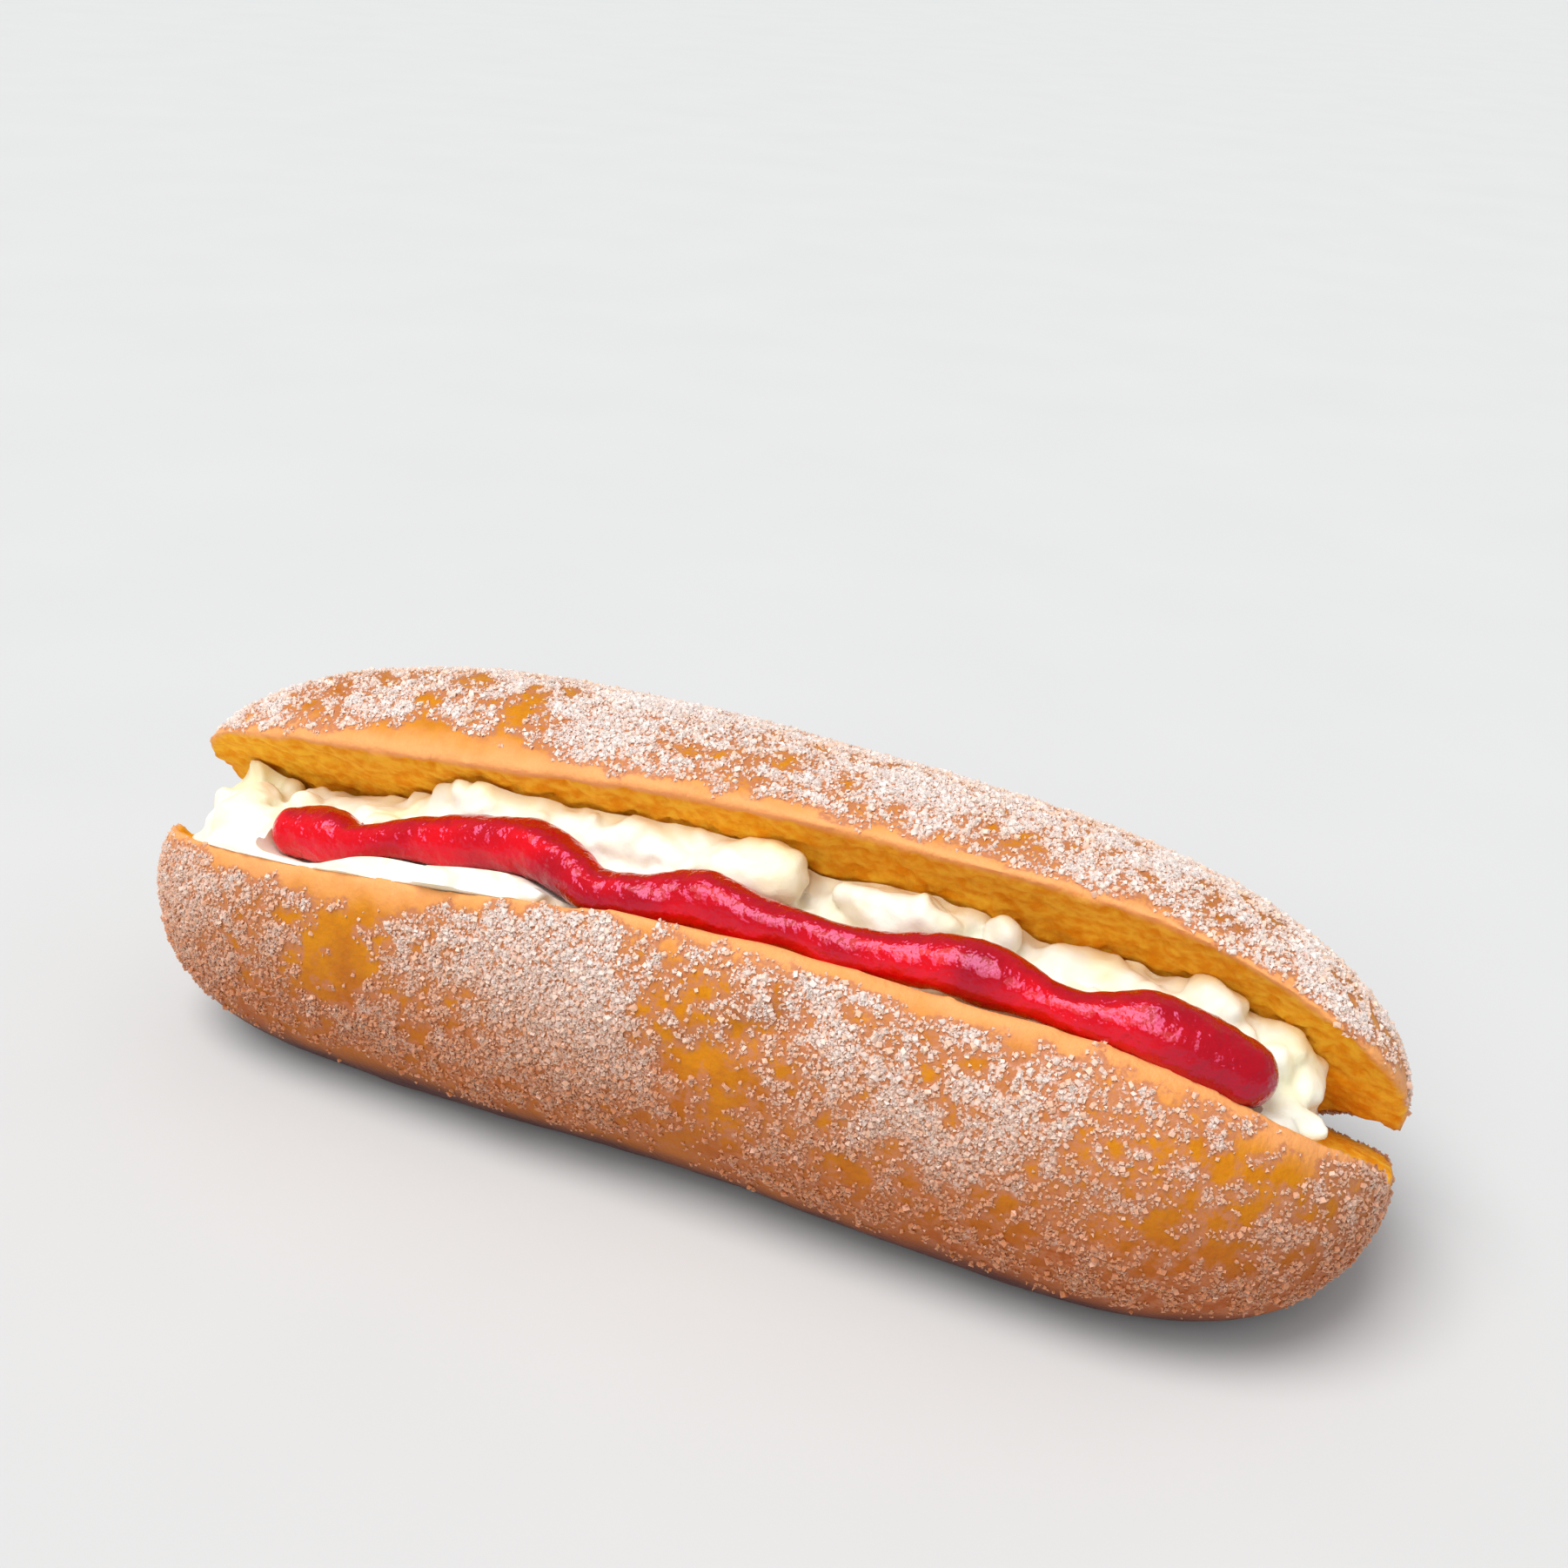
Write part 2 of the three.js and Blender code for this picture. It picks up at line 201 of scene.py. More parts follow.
def swung(points, opened=1):
    """Points turned round the hinge line: opened is 1 to open the lid and -1 to shut it."""
    x = points[..., 0]
    y = points[..., 1] - HINGE_Y
    z = points[..., 2] - HINGE_Z
    turn = -gape(x) * opened
    turned_y = y * np.cos(turn) - z * np.sin(turn)
    turned_z = y * np.sin(turn) + z * np.cos(turn)
    return np.stack([x, HINGE_Y + turned_y, HINGE_Z + turned_z], axis=-1)


print("middle of the cut, 30 mm in front of the hinge:", cut_point(0, 30, 0).round(1))

# %% [markdown]
# ### The rims and the room between the cut faces
#
# The filling needs to know where the crust meets the cut, and where it is between base and lid.
# The rims have no formula, so they are searched for at many places along the bun and read from
# that table afterwards. The filling has also pressed both cut faces a little hollow.

# %% The rims and the room between the cut faces
PRESSED_BASE = 2.4
PRESSED_LID = 0.7
PRESSED_FORWARD = 3  # above 1, the deepest place lies nearer to the lip
CLEARANCE = 0.45  # between the filling and a cut face
RIM_SEARCH = (-20, 55)  # reaches between which both rims lie
RIM_SEARCH_STEPS = 1501
RIM_STEPS = 400


def crust_level(points):
    """1 on the uncut bun's crust, less inside it."""
    x = points[..., 0]
    size = np.maximum(fullness(x), 1e-3)
    across = np.abs(points[..., 1] - bend(x)) / (half_width(x) * size)
    upwards = np.abs(points[..., 2] - middle_height(x)) / (half_height(x) * size)
    return (across**SQUARENESS + upwards**SQUARENESS) ** (1 / SQUARENESS)


def rims(x):
    """Where the crust meets the cut: reaches of the back rim and of the front lip."""
    first, last = RIM_SEARCH
    reaches = np.linspace(first, last, RIM_SEARCH_STEPS)
    inside = crust_level(cut_point(x[:, None], reaches[None, :], 0)) < 1
    back = np.where(inside.any(axis=1), reaches[inside.argmax(axis=1)], last)
    front = np.where(inside.any(axis=1), reaches[-1 - inside[:, ::-1].argmax(axis=1)], first)
    return back, front


rim_x = np.linspace(1 - HALF_LENGTH, HALF_LENGTH - 1, RIM_STEPS)
rim_back, rim_front = rims(rim_x)


def lip(x):
    """The reach of the front lip."""
    return np.interp(x, rim_x, rim_front)


def back_rim(x):
    """The reach of the back rim."""
    return np.interp(x, rim_x, rim_back)


def hollow(x, reach):
    """How far the filling has pressed a cut face, from 0 to 1."""
    share = np.clip(reach / np.maximum(lip(x), 1), 0, 1)
    return np.sin(np.pi * share**PRESSED_FORWARD)


def mouth_point(x, reach, share):
    """A point in the mouth: share is 0 on the base's cut face and 1 on the lid's."""
    depth = hollow(x, reach)
    on_base = cut_point(x, reach, CLEARANCE - PRESSED_BASE * depth)
    on_lid = swung(cut_point(x, reach, PRESSED_LID * depth - CLEARANCE))
    return on_base + (on_lid - on_base) * np.asarray(share)[..., None]


print("front lip's reach in mm:", lip(np.array([-60, 0, 60])).round(1))

# %% [markdown]
# ## The bun as a mesh
#
# Most pieces here are lofts: rings of points that follow each other along the doughnut. Blender
# could skin such rings with curves or with the Skin modifier, but the points are known exactly,
# so the faces are numbered directly. Each ring runs the same way round, so that all faces look
# outwards.

# %% The bun as a mesh
def add_piece(name, points, faces):
    """A smooth mesh object from points in millimetres, in the frame's place."""
    mesh = bpy.data.meshes.new(name)
    mesh.from_pydata((np.asarray(points) * MM).tolist(), [], faces)
    mesh.shade_smooth()
    piece = bpy.data.objects.new(name, mesh)
    bpy.context.scene.collection.objects.link(piece)
    return piece


def loft_faces(rings, sides):
    """Quads between rings, and a fan of triangles to a middle point at each end."""
    faces = []
    middles = rings * sides
    last = middles - sides
    for side in range(sides):
        after = (side + 1) % sides
        for ring in range(0, last, sides):
            faces.append((ring + side, ring + after, ring + sides + after, ring + sides + side))
        faces.append((middles, after, side))
        faces.append((middles + 1, last + side, last + after))
    return faces


def loft(name, rings):
    """A closed piece through rings, an array of ring by point by coordinate."""
    count, sides, _ = rings.shape
    ends = [rings[0].mean(axis=0), rings[-1].mean(axis=0)]
    return add_piece(name, np.vstack([rings.reshape(-1, 3), ends]), loft_faces(count, sides))


def faces_in(piece):
    """How many triangles the piece's faces make."""
    return sum(len(face.vertices) - 2 for face in piece.data.polygons)


dough = loft("doughnut_dough", bun)
print("whole bun:", faces_in(dough), "triangles")

# %% [markdown]
# ### Points as numbers
#
# Relief, crust and sugar are worked out for all points of a piece at once. A loop over a mesh's
# vertices is slow, so the points come as one numpy array and go back the same way.

# %% Points as numbers
def corners_of(piece):
    """The piece's points in millimetres, and their normals."""
    count = len(piece.data.vertices)
    places = np.empty(count * 3, np.float32)
    normals = np.empty(count * 3, np.float32)
    piece.data.vertices.foreach_get("co", places)
    piece.data.vertex_normals.foreach_get("vector", normals)
    return places.reshape(-1, 3).astype(float) / MM, normals.reshape(-1, 3).astype(float)


def move_corners(piece, points):
    """Puts the piece's points at new places in millimetres."""
    piece.data.vertices.foreach_set("co", (points * MM).astype(np.float32).ravel())
    piece.data.update()


def remember(piece, name, values):
    """Stores one number for each point, which a material can read by name."""
    layer = piece.data.attributes.new(name, "FLOAT", "POINT")
    layer.data.foreach_set("value", np.asarray(values, np.float32))


print("height of the whole bun in mm:", np.ptp(corners_of(dough)[0][:, 2]).round(1))

# %% [markdown]
# ## Dough: one body with a slit
#
# The real dough is one piece. It could be sculpted, but cutting it the way the baker does gives
# the right shape by itself. One copy of the bun loses what is above the cut, the other loses
# what is below it and is swung open. At the right end the knife came out at the back too, so a
# thin wedge of the lid goes as well. Each part that goes is a block, which is a loft too.

# %% Blocks that cut the dough
CUT_STEPS = 150
CUT_FACETS = 30
CUTTER_BACK = -45  # reaches of the cutting block's back and front
CUTTER_FRONT = 70
CUTTER_FAR = 90  # how far from the cut its far side is
CUTTER_PAST = 2  # how far past the bun's ends it goes
END_GAP = (72, 90)  # from where to where along the bun
END_GAP_HEIGHT = 8  # at its far end
END_GAP_REACH = 7
END_GAP_STEPS = 30


def side_of_cut(name, towards):
    """A block on one side of the cut: towards is 1 for above it and -1 for below it."""
    x = np.linspace(-HALF_LENGTH - CUTTER_PAST, HALF_LENGTH + CUTTER_PAST, CUT_STEPS)[:, None]
    pressed = -PRESSED_BASE if towards > 0 else PRESSED_LID
    reach = lip(x) * np.linspace(0, 1, CUT_FACETS)[None, :]
    face = cut_point(x, reach, pressed * hollow(x, reach))
    corners = [(CUTTER_FRONT, 0), (CUTTER_FRONT, CUTTER_FAR), (CUTTER_BACK, CUTTER_FAR)]
    rest = [cut_point(x, far, lift * towards) for far, lift in corners]
    ring = np.concatenate([cut_point(x, CUTTER_BACK, 0), face, *rest], axis=1)
    return loft(name, ring[:, ::-1] if towards > 0 else ring)


def end_gap():
    """The wedge between lid and base at the right end, open at the back."""
    x = np.linspace(*END_GAP, END_GAP_STEPS)[:, None]
    top = END_GAP_HEIGHT * (x - END_GAP[0]) / (END_GAP[1] - END_GAP[0])
    corners = [(CUTTER_BACK, top), (END_GAP_REACH, top)]
    corners += [(END_GAP_REACH, -CUTTER_FAR), (CUTTER_BACK, -CUTTER_FAR)]
    return loft("end_gap", np.concatenate([cut_point(x, *corner) for corner in corners], axis=1))


above_cut = side_of_cut("above", 1)
print("block above the cut:", faces_in(above_cut), "triangles")

# %% [markdown]
# ### Cutting and joining
#
# Modifiers cut and skin whole pieces. They could stay on a piece, but later steps need the points
# that they make, so each is put into the mesh at once. The manifold solver is quick and exact, as
# long as both pieces are closed and don't cross themselves. A voxel remesh then skins base and
# lid as one body with even small faces, which are what the relief and the crumb need afterwards.

# %% Cutting and joining
VOXEL = 0.78


def bake_modifiers(piece):
    """Puts what the modifiers make into the piece's own mesh."""
    evaluated = piece.evaluated_get(bpy.context.evaluated_depsgraph_get())
    plain = piece.data
    piece.data = bpy.data.meshes.new_from_object(evaluated)
    piece.modifiers.clear()
    bpy.data.meshes.remove(plain)


def join_pieces(piece, other):
    """Puts the other piece's mesh into the piece, and the other piece is gone."""
    with bpy.context.temp_override(active_object=piece, selected_editable_objects=[piece, other]):
        bpy.ops.object.join()


def skin_over(piece, voxel):
    """Makes one closed body with even small faces of whatever overlaps in the piece."""
    skin = piece.modifiers.new("skin", "REMESH")
    skin.mode = "VOXEL"
    skin.voxel_size = voxel * MM
    bake_modifiers(piece)
    piece.data.shade_smooth()


def combine(piece, other, operation):
    """A Boolean operation, DIFFERENCE or INTERSECT, after which the other piece is gone."""
    step = piece.modifiers.new("combine", "BOOLEAN")
    step.operation = operation
    step.solver = "MANIFOLD"
    step.object = other
    bake_modifiers(piece)
    bpy.data.objects.remove(other)


lid = loft("lid", bun)
combine(dough, above_cut, "DIFFERENCE")
combine(lid, side_of_cut("below", -1), "DIFFERENCE")
move_corners(lid, swung(corners_of(lid)[0]))
combine(lid, end_gap(), "DIFFERENCE")
join_pieces(dough, lid)
skin_over(dough, VOXEL)
print("dough triangles:", faces_in(dough))

# %% [markdown]
# ## Crust or crumb
#
# Every later step has to know which points are fried crust and which are cut crumb. Painting
# them by hand would be lost at the next change of shape. Here each point is put back into the
# uncut bun, where its height over the cut and its depth below the crust tell where it lies.

# %% Crust or crumb
CRUMB_DEPTH = (0.4, 2)  # the crust's colour ends over this depth from the lip
CRUMB_LIFT = (0.9, 1.9)  # distances from the cut: all of the crumb, none of it
CRUMB_BACK = -3  # reach at which the crumb ends behind the hinge
LIP_SIDE = 8  # reach from which the cut has an edge that shows
NO_EDGE = 40  # distance that stands for no edge near by


def smooth_step(value, low, high):
    """0 up to low, 1 from high on, and an even S between them."""
    t = np.clip((value - low) / (high - low), 0, 1)
    return t * t * (3 - 2 * t)


def place_in_bun(points):
    """Whether points are on the lid, their reach, height over the cut, and depth in the bun."""
    x = points[:, 0]
    reach, lift = reach_and_lift(points)
    on_lid = lift > np.clip(reach, 0, None) * np.tan(gape(x) / 2)
    shut = np.where(on_lid[:, None], swung(points, -1), points)
    reach, lift = reach_and_lift(shut)
    pressed = hollow(x, reach) * np.where(on_lid, PRESSED_LID, -PRESSED_BASE)
    depth = (1 - crust_level(shut)) * half_height(x) * fullness(x)
    return on_lid, reach, lift - pressed, depth


points = corners_of(dough)[0]
on_lid, reach, lift, depth = place_in_bun(points)
near_cut = 1 - smooth_step(np.abs(lift), *CRUMB_LIFT)
crumb = smooth_step(depth, *CRUMB_DEPTH) * near_cut * (reach > CRUMB_BACK)
from_edge = np.where(reach > LIP_SIDE, np.abs(lift), NO_EDGE)
remember(dough, "crumb", crumb)
remember(dough, "from_edge", from_edge)
print("share of crumb:", round(float(crumb.mean()), 2))

# %% [markdown]
# ### Soft lips
#
# A knife leaves a sharp edge, but soft dough rolls it under as the bun is opened. A bevel needs
# an edge to follow, and a remeshed body has none. A Smooth modifier rounds whatever it is allowed
# to reach, so a vertex group gives it only the points near the lips.

# %% Soft lips
LIP_REACH = (1.5, 5)  # distances from the edge: all of the rounding, none of it
LIP_ENDS = (72, 82)  # the bun's tips stay sharp
LIP_STEPS = 22
LIP_LEVELS = 8

rounding = 1 - smooth_step(np.hypot(np.clip(depth, 0, None), lift), *LIP_REACH)
rounding *= (reach > LIP_SIDE) * (1 - smooth_step(np.abs(points[:, 0]), *LIP_ENDS))
lips = dough.vertex_groups.new(name="lips")
for level in range(1, LIP_LEVELS + 1):
    chosen = np.flatnonzero(np.round(rounding * LIP_LEVELS) == level)
    lips.add(chosen.tolist(), level / LIP_LEVELS, "REPLACE")
soft = dough.modifiers.new("soft_lips", "SMOOTH")
soft.factor = 0.5
soft.iterations = LIP_STEPS
soft.vertex_group = "lips"
bake_modifiers(dough)
print("rounded points:", int((rounding > 0.5).sum()))

# %% [markdown]
# ## Relief of the crust and of the crumb
#
# A fried crust is smooth but never perfectly even, and a torn crumb is full of small bubbles.
# A displacement modifier with a texture would move crust and crumb alike, so the points are moved
# along their normals: soft swells on crust, bubbles on crumb, and a few dents and bumps that this
# doughnut has, such as the slanting crease below its front lip.

# %% Relief of the crust and of the crumb
SWELLS = [(24, 0.5), (9, 0.22), (3.2, 0.07)]  # size and height of the crust's unevenness
TORN = [(6, 0.5), (2.6, 0.3)]  # the same for the crumb
TORN_SEED = 5
BUBBLE_SIZE = 2.4
BUBBLE_DEPTH = 0.6
BUBBLE_EDGE = (0.1, 0.5)  # distances from a bubble's middle, per size: deepest, level
LEAST_CRUMB = 0.02  # share of crumb from which a point gets bubbles
RESTING = (0.3, 3)  # heights above the table: none of the relief, all of it
SEED_SHIFT = (17.3, 5.1, 9.7)  # how far one seed's noise lies from the next one's
DENTS = [  # x, y, z, spread and height
    (2, -28, 25, 3, -0.5),
    (7, -28, 29, 2.8, -0.7),
    (12, -27.5, 32, 2.6, -0.9),
    (17, -27, 35, 2.5, -1),
    (21, -26, 37.5, 2.4, -0.7),
    (13, -26, 39, 5, 1.3),
    (27, -24, 40, 5, 0.5),
]


def blobs(points, rows):
    """The sum of soft round blobs, each with a place, a spread and a height."""
    total = np.zeros(len(points))
    for x, y, z, spread, height in rows:
        distance = np.linalg.norm(points - (x, y, z), axis=1) / spread
        total += height * np.exp(-(distance**2))
    return total


def noise_at(points, size, seed=0):
    """Smooth noise from -1 to 1, with swells of about this size in millimetres."""
    shift = Vector([seed * step for step in SEED_SHIFT])
    return np.array([noise.noise(Vector(point) + shift) for point in points / size])


def swells(points, layers, seed=0):
    """The sum of layers of noise, each with a size and a height."""
    return sum(h * noise_at(points, size, seed + i) for i, (size, h) in enumerate(layers))


def bubbles(points):
    """1 in the middle of a bubble and 0 between the bubbles."""
    nearest = np.array([noise.voronoi(Vector(point))[0][0] for point in points / BUBBLE_SIZE])
    return 1 - smooth_step(nearest, *BUBBLE_EDGE)


points, normals = corners_of(dough)
crust_relief = swells(points, SWELLS) + blobs(points, DENTS)
crumb_relief = np.zeros(len(points))
torn = crumb > LEAST_CRUMB
crumb_relief[torn] = swells(points[torn], TORN, TORN_SEED) - BUBBLE_DEPTH * bubbles(points[torn])
relief = crust_relief * (1 - crumb) + crumb_relief * crumb
free = smooth_step(points[:, 2], *RESTING)
move_corners(dough, points + normals * (relief * free)[:, None])
print("relief in mm:", relief.min().round(1), "to", relief.max().round(1))

# %% [markdown]
# ## Where the sugar lies
#
# A warm doughnut is rolled in sugar, which sticks where the crust is moist: thick in patches,
# thin or missing where fat or a finger was, and never on the fresh cut. Painted weights would do,
# but a list of soft blobs is easy to read and to change. Each blob has a place, a spread and an
# amount, which is below 0 where it takes sugar away. Noise then breaks up the blobs' outlines.

# %% Where the sugar lies
SUGAR_BLOBS = [  # x, y, z, spread and amount
    (-79, -18, 22, 14, 0.45),
    (-62, -25, 12, 5, -0.35),
    (-48, -27, 25, 6.5, -0.8),
    (-42, -27, 27, 4, -0.4),
    (-46, -27, 16, 4.5, 0.4),
    (-51, -25, 8, 5, -0.5),
    (-36, -27, 29, 5, 0.35),
    (-36, -28, 21, 4, 0.3),
    (-20, -27, 34, 6, 1),
    (-9, -27, 33, 6, 0.9),
    (-15, -28, 22, 7, 0.9),
    (-5, -28, 24, 5, 0.7),
    (7, -27, 34, 6, -0.1),
    (9, -28, 26, 4, -0.6),
    (15, -28, 25, 4, -0.5),
    (6, -26, 13, 5, -0.5),
    (22, -27, 35, 5, 0.35),
    (34, -28, 28, 5.5, 0.5),
    (42, -29, 25, 5, 0.55),
    (46, -28, 31, 4.5, 0.4),
    (28, -28, 17, 4.5, -0.6),
    (47, -28, 17, 5, -0.5),
    (69, -25, 21, 6, -0.45),
    (77, -19, 31, 3.5, -0.6),
    (-69, -12, 49, 4, 0.5),
    (-50, -11, 53, 4, 0.5),
    (-40, -9, 55, 6, 0.6),
    (-32, -12, 53, 6, -0.8),
    (-44, -13, 49, 6, -0.8),
    (-18, -8, 56, 8, 0.8),
    (-18, 9, 56, 9, 0.6),
    (8, -7, 56, 4, 0.4),
    (20, 0, 56, 6, 0.7),
    (30, 4, 55, 8, 0.4),
    (50, -4, 53, 13, 0.3),
    (70, -4, 46, 10, 0.35),
]
SUGAR_EVERYWHERE = 0.55
SUGAR_CLUMPS = [(9, 0.3), (3.6, 0.5), (1.7, 0.8)]  # size and strength of the noise in it
BARE_ON_LID = [0.5, 0.3, 4, 1.5, 0.6, 0.8, 0.5, 0.3, 0.3]  # width beside the cut, left to right
BARE_ON_BASE = [0, 1, 3.6, 0.5, 0.4, 1.6, 2, 0.4, 0]
BARE_FADE = 2.2  # how far from there the sugar takes to become thick
BARE_SWING = [(3.4, 2)]  # size and height of the noise in the width
SUGAR_ENDS = (6, 12)  # heights above the table: none of it, all of it
SUGAR_ENDS_SWING = [(7, 3)]
CLUMP_SEED = 11
BARE_SEED = 15
ENDS_SEED = 16


def sugar_at(points):
    """How thickly sugar lies on the points of the dough, from 0 to 1."""
    x = points[:, 0]
    clumps = swells(points, SUGAR_CLUMPS, CLUMP_SEED)
    amount = SUGAR_EVERYWHERE + clumps + blobs(points, SUGAR_BLOBS)
    bare = np.where(on_lid, along(BARE_ON_LID)(x), along(BARE_ON_BASE)(x))
    bare = bare + swells(points, BARE_SWING, BARE_SEED)
    amount = np.clip(amount, 0, 1) * smooth_step((from_edge - bare) / BARE_FADE, 0, 1)
    height = points[:, 2] + swells(points, SUGAR_ENDS_SWING, ENDS_SEED)
    return amount * (1 - crumb) * smooth_step(height, *SUGAR_ENDS)


sugar = sugar_at(points)
remember(dough, "sugar", sugar)
print("mean sugar:", round(float(sugar.mean()), 2))

# %% [markdown]
# ## Helpers for materials
#
# Materials are made of nodes. Writing each node and each link by hand makes long code, so one
# helper adds a node, sets its values and links what comes from other nodes. Colours are given as
# they look on a screen and turned into the linear values that light works with.

# %% Helpers for materials
def colour(red, green, blue):
    """A screen colour from 0 to 255 as linear light."""
    values = [value / 255 for value in (red, green, blue)]
    return (*[v / 12.92 if v < 0.04045 else ((v + 0.055) / 1.055) ** 2.4 for v in values], 1)


def fill_inputs(tree, node, inputs):
    """Sets each input to a value, or links it to another node's output."""
    for name, value in inputs.items():
        if isinstance(value, bpy.types.NodeSocket):
            tree.links.new(value, node.inputs[name])
        else:
            node.inputs[name].default_value = value


def add_node(tree, kind, inputs=None, **settings):
    """Adds a node with these inputs and settings."""
    node = tree.nodes.new(kind)
    for name, value in settings.items():
        setattr(node, name, value)
    fill_inputs(tree, node, inputs or {})
    return node


def start_material(name):
    """A new material, its node tree and its surface shader."""
    material = bpy.data.materials.new(name)
    material.use_nodes = True
    tree = material.node_tree
    tree.nodes.clear()
    surface = add_node(tree, "ShaderNodeBsdfPrincipled")
    output = add_node(tree, "ShaderNodeOutputMaterial")
    tree.links.new(surface.outputs["BSDF"], output.inputs["Surface"])
    return material, tree, surface


def stored(tree, name):
    """The number that the points remember by this name."""
    return add_node(tree, "ShaderNodeAttribute", attribute_name=name).outputs["Fac"]


def axes(tree, kind="Object"):
    """The X, Y and Z of a point's own place, or of its own normal where kind is Normal."""
    vector = add_node(tree, "ShaderNodeTexCoord").outputs[kind]
    return add_node(tree, "ShaderNodeSeparateXYZ", {"Vector": vector}).outputs


def noise_node(tree, size, detail=3, stretch=(1, 1, 1)):
    """Noise with swells of about this size in millimetres, from the piece's own coordinates."""
    place = add_node(tree, "ShaderNodeTexCoord").outputs["Object"]
    scale = [1 / (size * MM * factor) for factor in stretch]
    scaled = add_node(tree, "ShaderNodeMapping", {"Vector": place, "Scale": scale})
    inputs = {"Vector": scaled.outputs["Vector"], "Scale": 1, "Detail": detail}
    return add_node(tree, "ShaderNodeTexNoise", inputs).outputs["Fac"]


def ramp(tree, value, low, high, out_low=0, out_high=1):
    """out_low where value is up to low, out_high where it is from high on, smooth between."""
    inputs = {"Value": value, 1: low, 2: high, 3: out_low, 4: out_high}
    return add_node(tree, "ShaderNodeMapRange", inputs, interpolation_type="SMOOTHSTEP").outputs[0]


def mix(tree, share, first, second):
    """A blend of two colours. A Mix node takes colours at its inputs 6 and 7."""
    inputs = {0: share, 6: first, 7: second}
    return add_node(tree, "ShaderNodeMix", inputs, data_type="RGBA").outputs[2]


def maths(tree, operation, *values):
    """The result of one Math node."""
    return add_node(tree, "ShaderNodeMath", dict(enumerate(values)), operation=operation).outputs[0]


def bump(tree, height, distance):
    """A normal for a surface that rises by distance in millimetres where height is 1."""
    inputs = {"Height": height, "Distance": distance * MM, "Strength": 1}
    return add_node(tree, "ShaderNodeBump", inputs).outputs["Normal"]


print("middle grey as linear light:", round(colour(128, 128, 128)[0], 2))

# %% [markdown]
# ## Crust and crumb
#
# Frying gives amber with browner clouds, and a paler band where the dough was folded under at the
# cut. The crust is also painted browner towards the right end and low down, as painted shade, and
# the dark line where it touches the table is partly scorched crust and partly a painted contact
# shadow. Two materials would meet in a hard line, so one material blends from crust to crumb by the
# stored numbers. Fine sugar dust, too small for crystals, lightens the crust where sugar lies.

# %% Crust and crumb
AMBER = colour(212, 136, 8)  # bare crust
# Brown for the clouds of longer frying, and also painted shade towards the right end and low down.
BROWN_AND_SHADE = colour(164, 80, 20)  # where it was fried longer
PALE = colour(244, 170, 108)  # the band beside the cut
# A scorched underside, darkened further as a painted contact shadow along the table.
SCORCH_AND_CONTACT_SHADE = colour(70, 24, 18)  # along the table
FILM = colour(190, 122, 86)  # moist sugar
WHITE = colour(240, 210, 196)  # thick dry sugar
OCHRE = colour(240, 154, 14)  # crumb, in its hollows
FLUFF = colour(255, 194, 54)  # crumb, on its crests

crust_look, tree, surface = start_material("fried_dough")
place = axes(tree)
clouds = ramp(tree, noise_node(tree, 14), 0.45, 0.8, 0, 0.7)
# Painted shade: the crust is browner towards the right end and low down, where less light falls.
painted_shade_right_low = ramp(tree, place["X"], 10 * MM, 60 * MM, 0.45, 0.9)
painted_shade_right_low = maths(tree, "MULTIPLY", painted_shade_right_low, ramp(tree, place["Z"], 10 * MM, 32 * MM, 1, 0.1))
tone = mix(tree, maths(tree, "ADD", clouds, painted_shade_right_low), AMBER, BROWN_AND_SHADE)
mottled = ramp(tree, noise_node(tree, 2.2, 4), 0.35, 0.7, 0, 0.28)
tone = mix(tree, mottled, tone, BROWN_AND_SHADE)
band = maths(tree, "MULTIPLY_ADD", noise_node(tree, 5), 5, stored(tree, "from_edge"))
tone = mix(tree, ramp(tree, band, 3, 8.5, 0.9, 0), tone, PALE)
specks = ramp(tree, noise_node(tree, 0.6, 2), 0.36, 0.64, 0.45, 1.35)
dusted = maths(tree, "MULTIPLY", stored(tree, "sugar"), specks)
tone = mix(tree, ramp(tree, dusted, 0.03, 0.4, 0, 0.85), tone, FILM)
tone = mix(tree, ramp(tree, dusted, 0.6, 1.3, 0, 0.9), tone, WHITE)
# Painted shade: browner again low down, where the underside turns away from the light.
tone = mix(tree, ramp(tree, place["Z"], 8 * MM, 30 * MM, 0.5, 0), tone, BROWN_AND_SHADE)
uneven_height = maths(tree, "MULTIPLY_ADD", noise_node(tree, 12), 5 * MM, place["Z"])
# The dark line along the table: partly a scorched underside, partly a painted contact shadow.
tone = mix(tree, ramp(tree, uneven_height, 7 * MM, 13 * MM, 1, 0), tone, SCORCH_AND_CONTACT_SHADE)
crumb_tone = mix(tree, ramp(tree, noise_node(tree, 1.8, 4), 0.32, 0.68), OCHRE, FLUFF)
tone = mix(tree, stored(tree, "crumb"), tone, crumb_tone)
wrinkles = noise_node(tree, 1.3, 3, (1, 5, 5))
finish = {
    "Base Color": tone,
    "Roughness": ramp(tree, stored(tree, "crumb"), 0, 1, 0.5, 0.9),
    "Normal": bump(tree, maths(tree, "ADD", noise_node(tree, 0.8, 4), wrinkles), 0.22),
    "Subsurface Weight": 0.15,
    "Subsurface Scale": 3 * MM,
    "Specular IOR Level": 0.16,
}
fill_inputs(tree, surface, finish)
dough.data.materials.clear()
dough.data.materials.append(crust_look)
print("crust and crumb:", len(tree.nodes), "nodes")

# %% [markdown]
# ## Jam
#
# The jam is piped, so it is a rope that swells and thins as the bag moves. A curve with a bevel
# and a radius at each point could make it. A loft of rings is used, because the cream below
# needs the rope's middle line and thickness as numbers, to lie in a groove behind it.

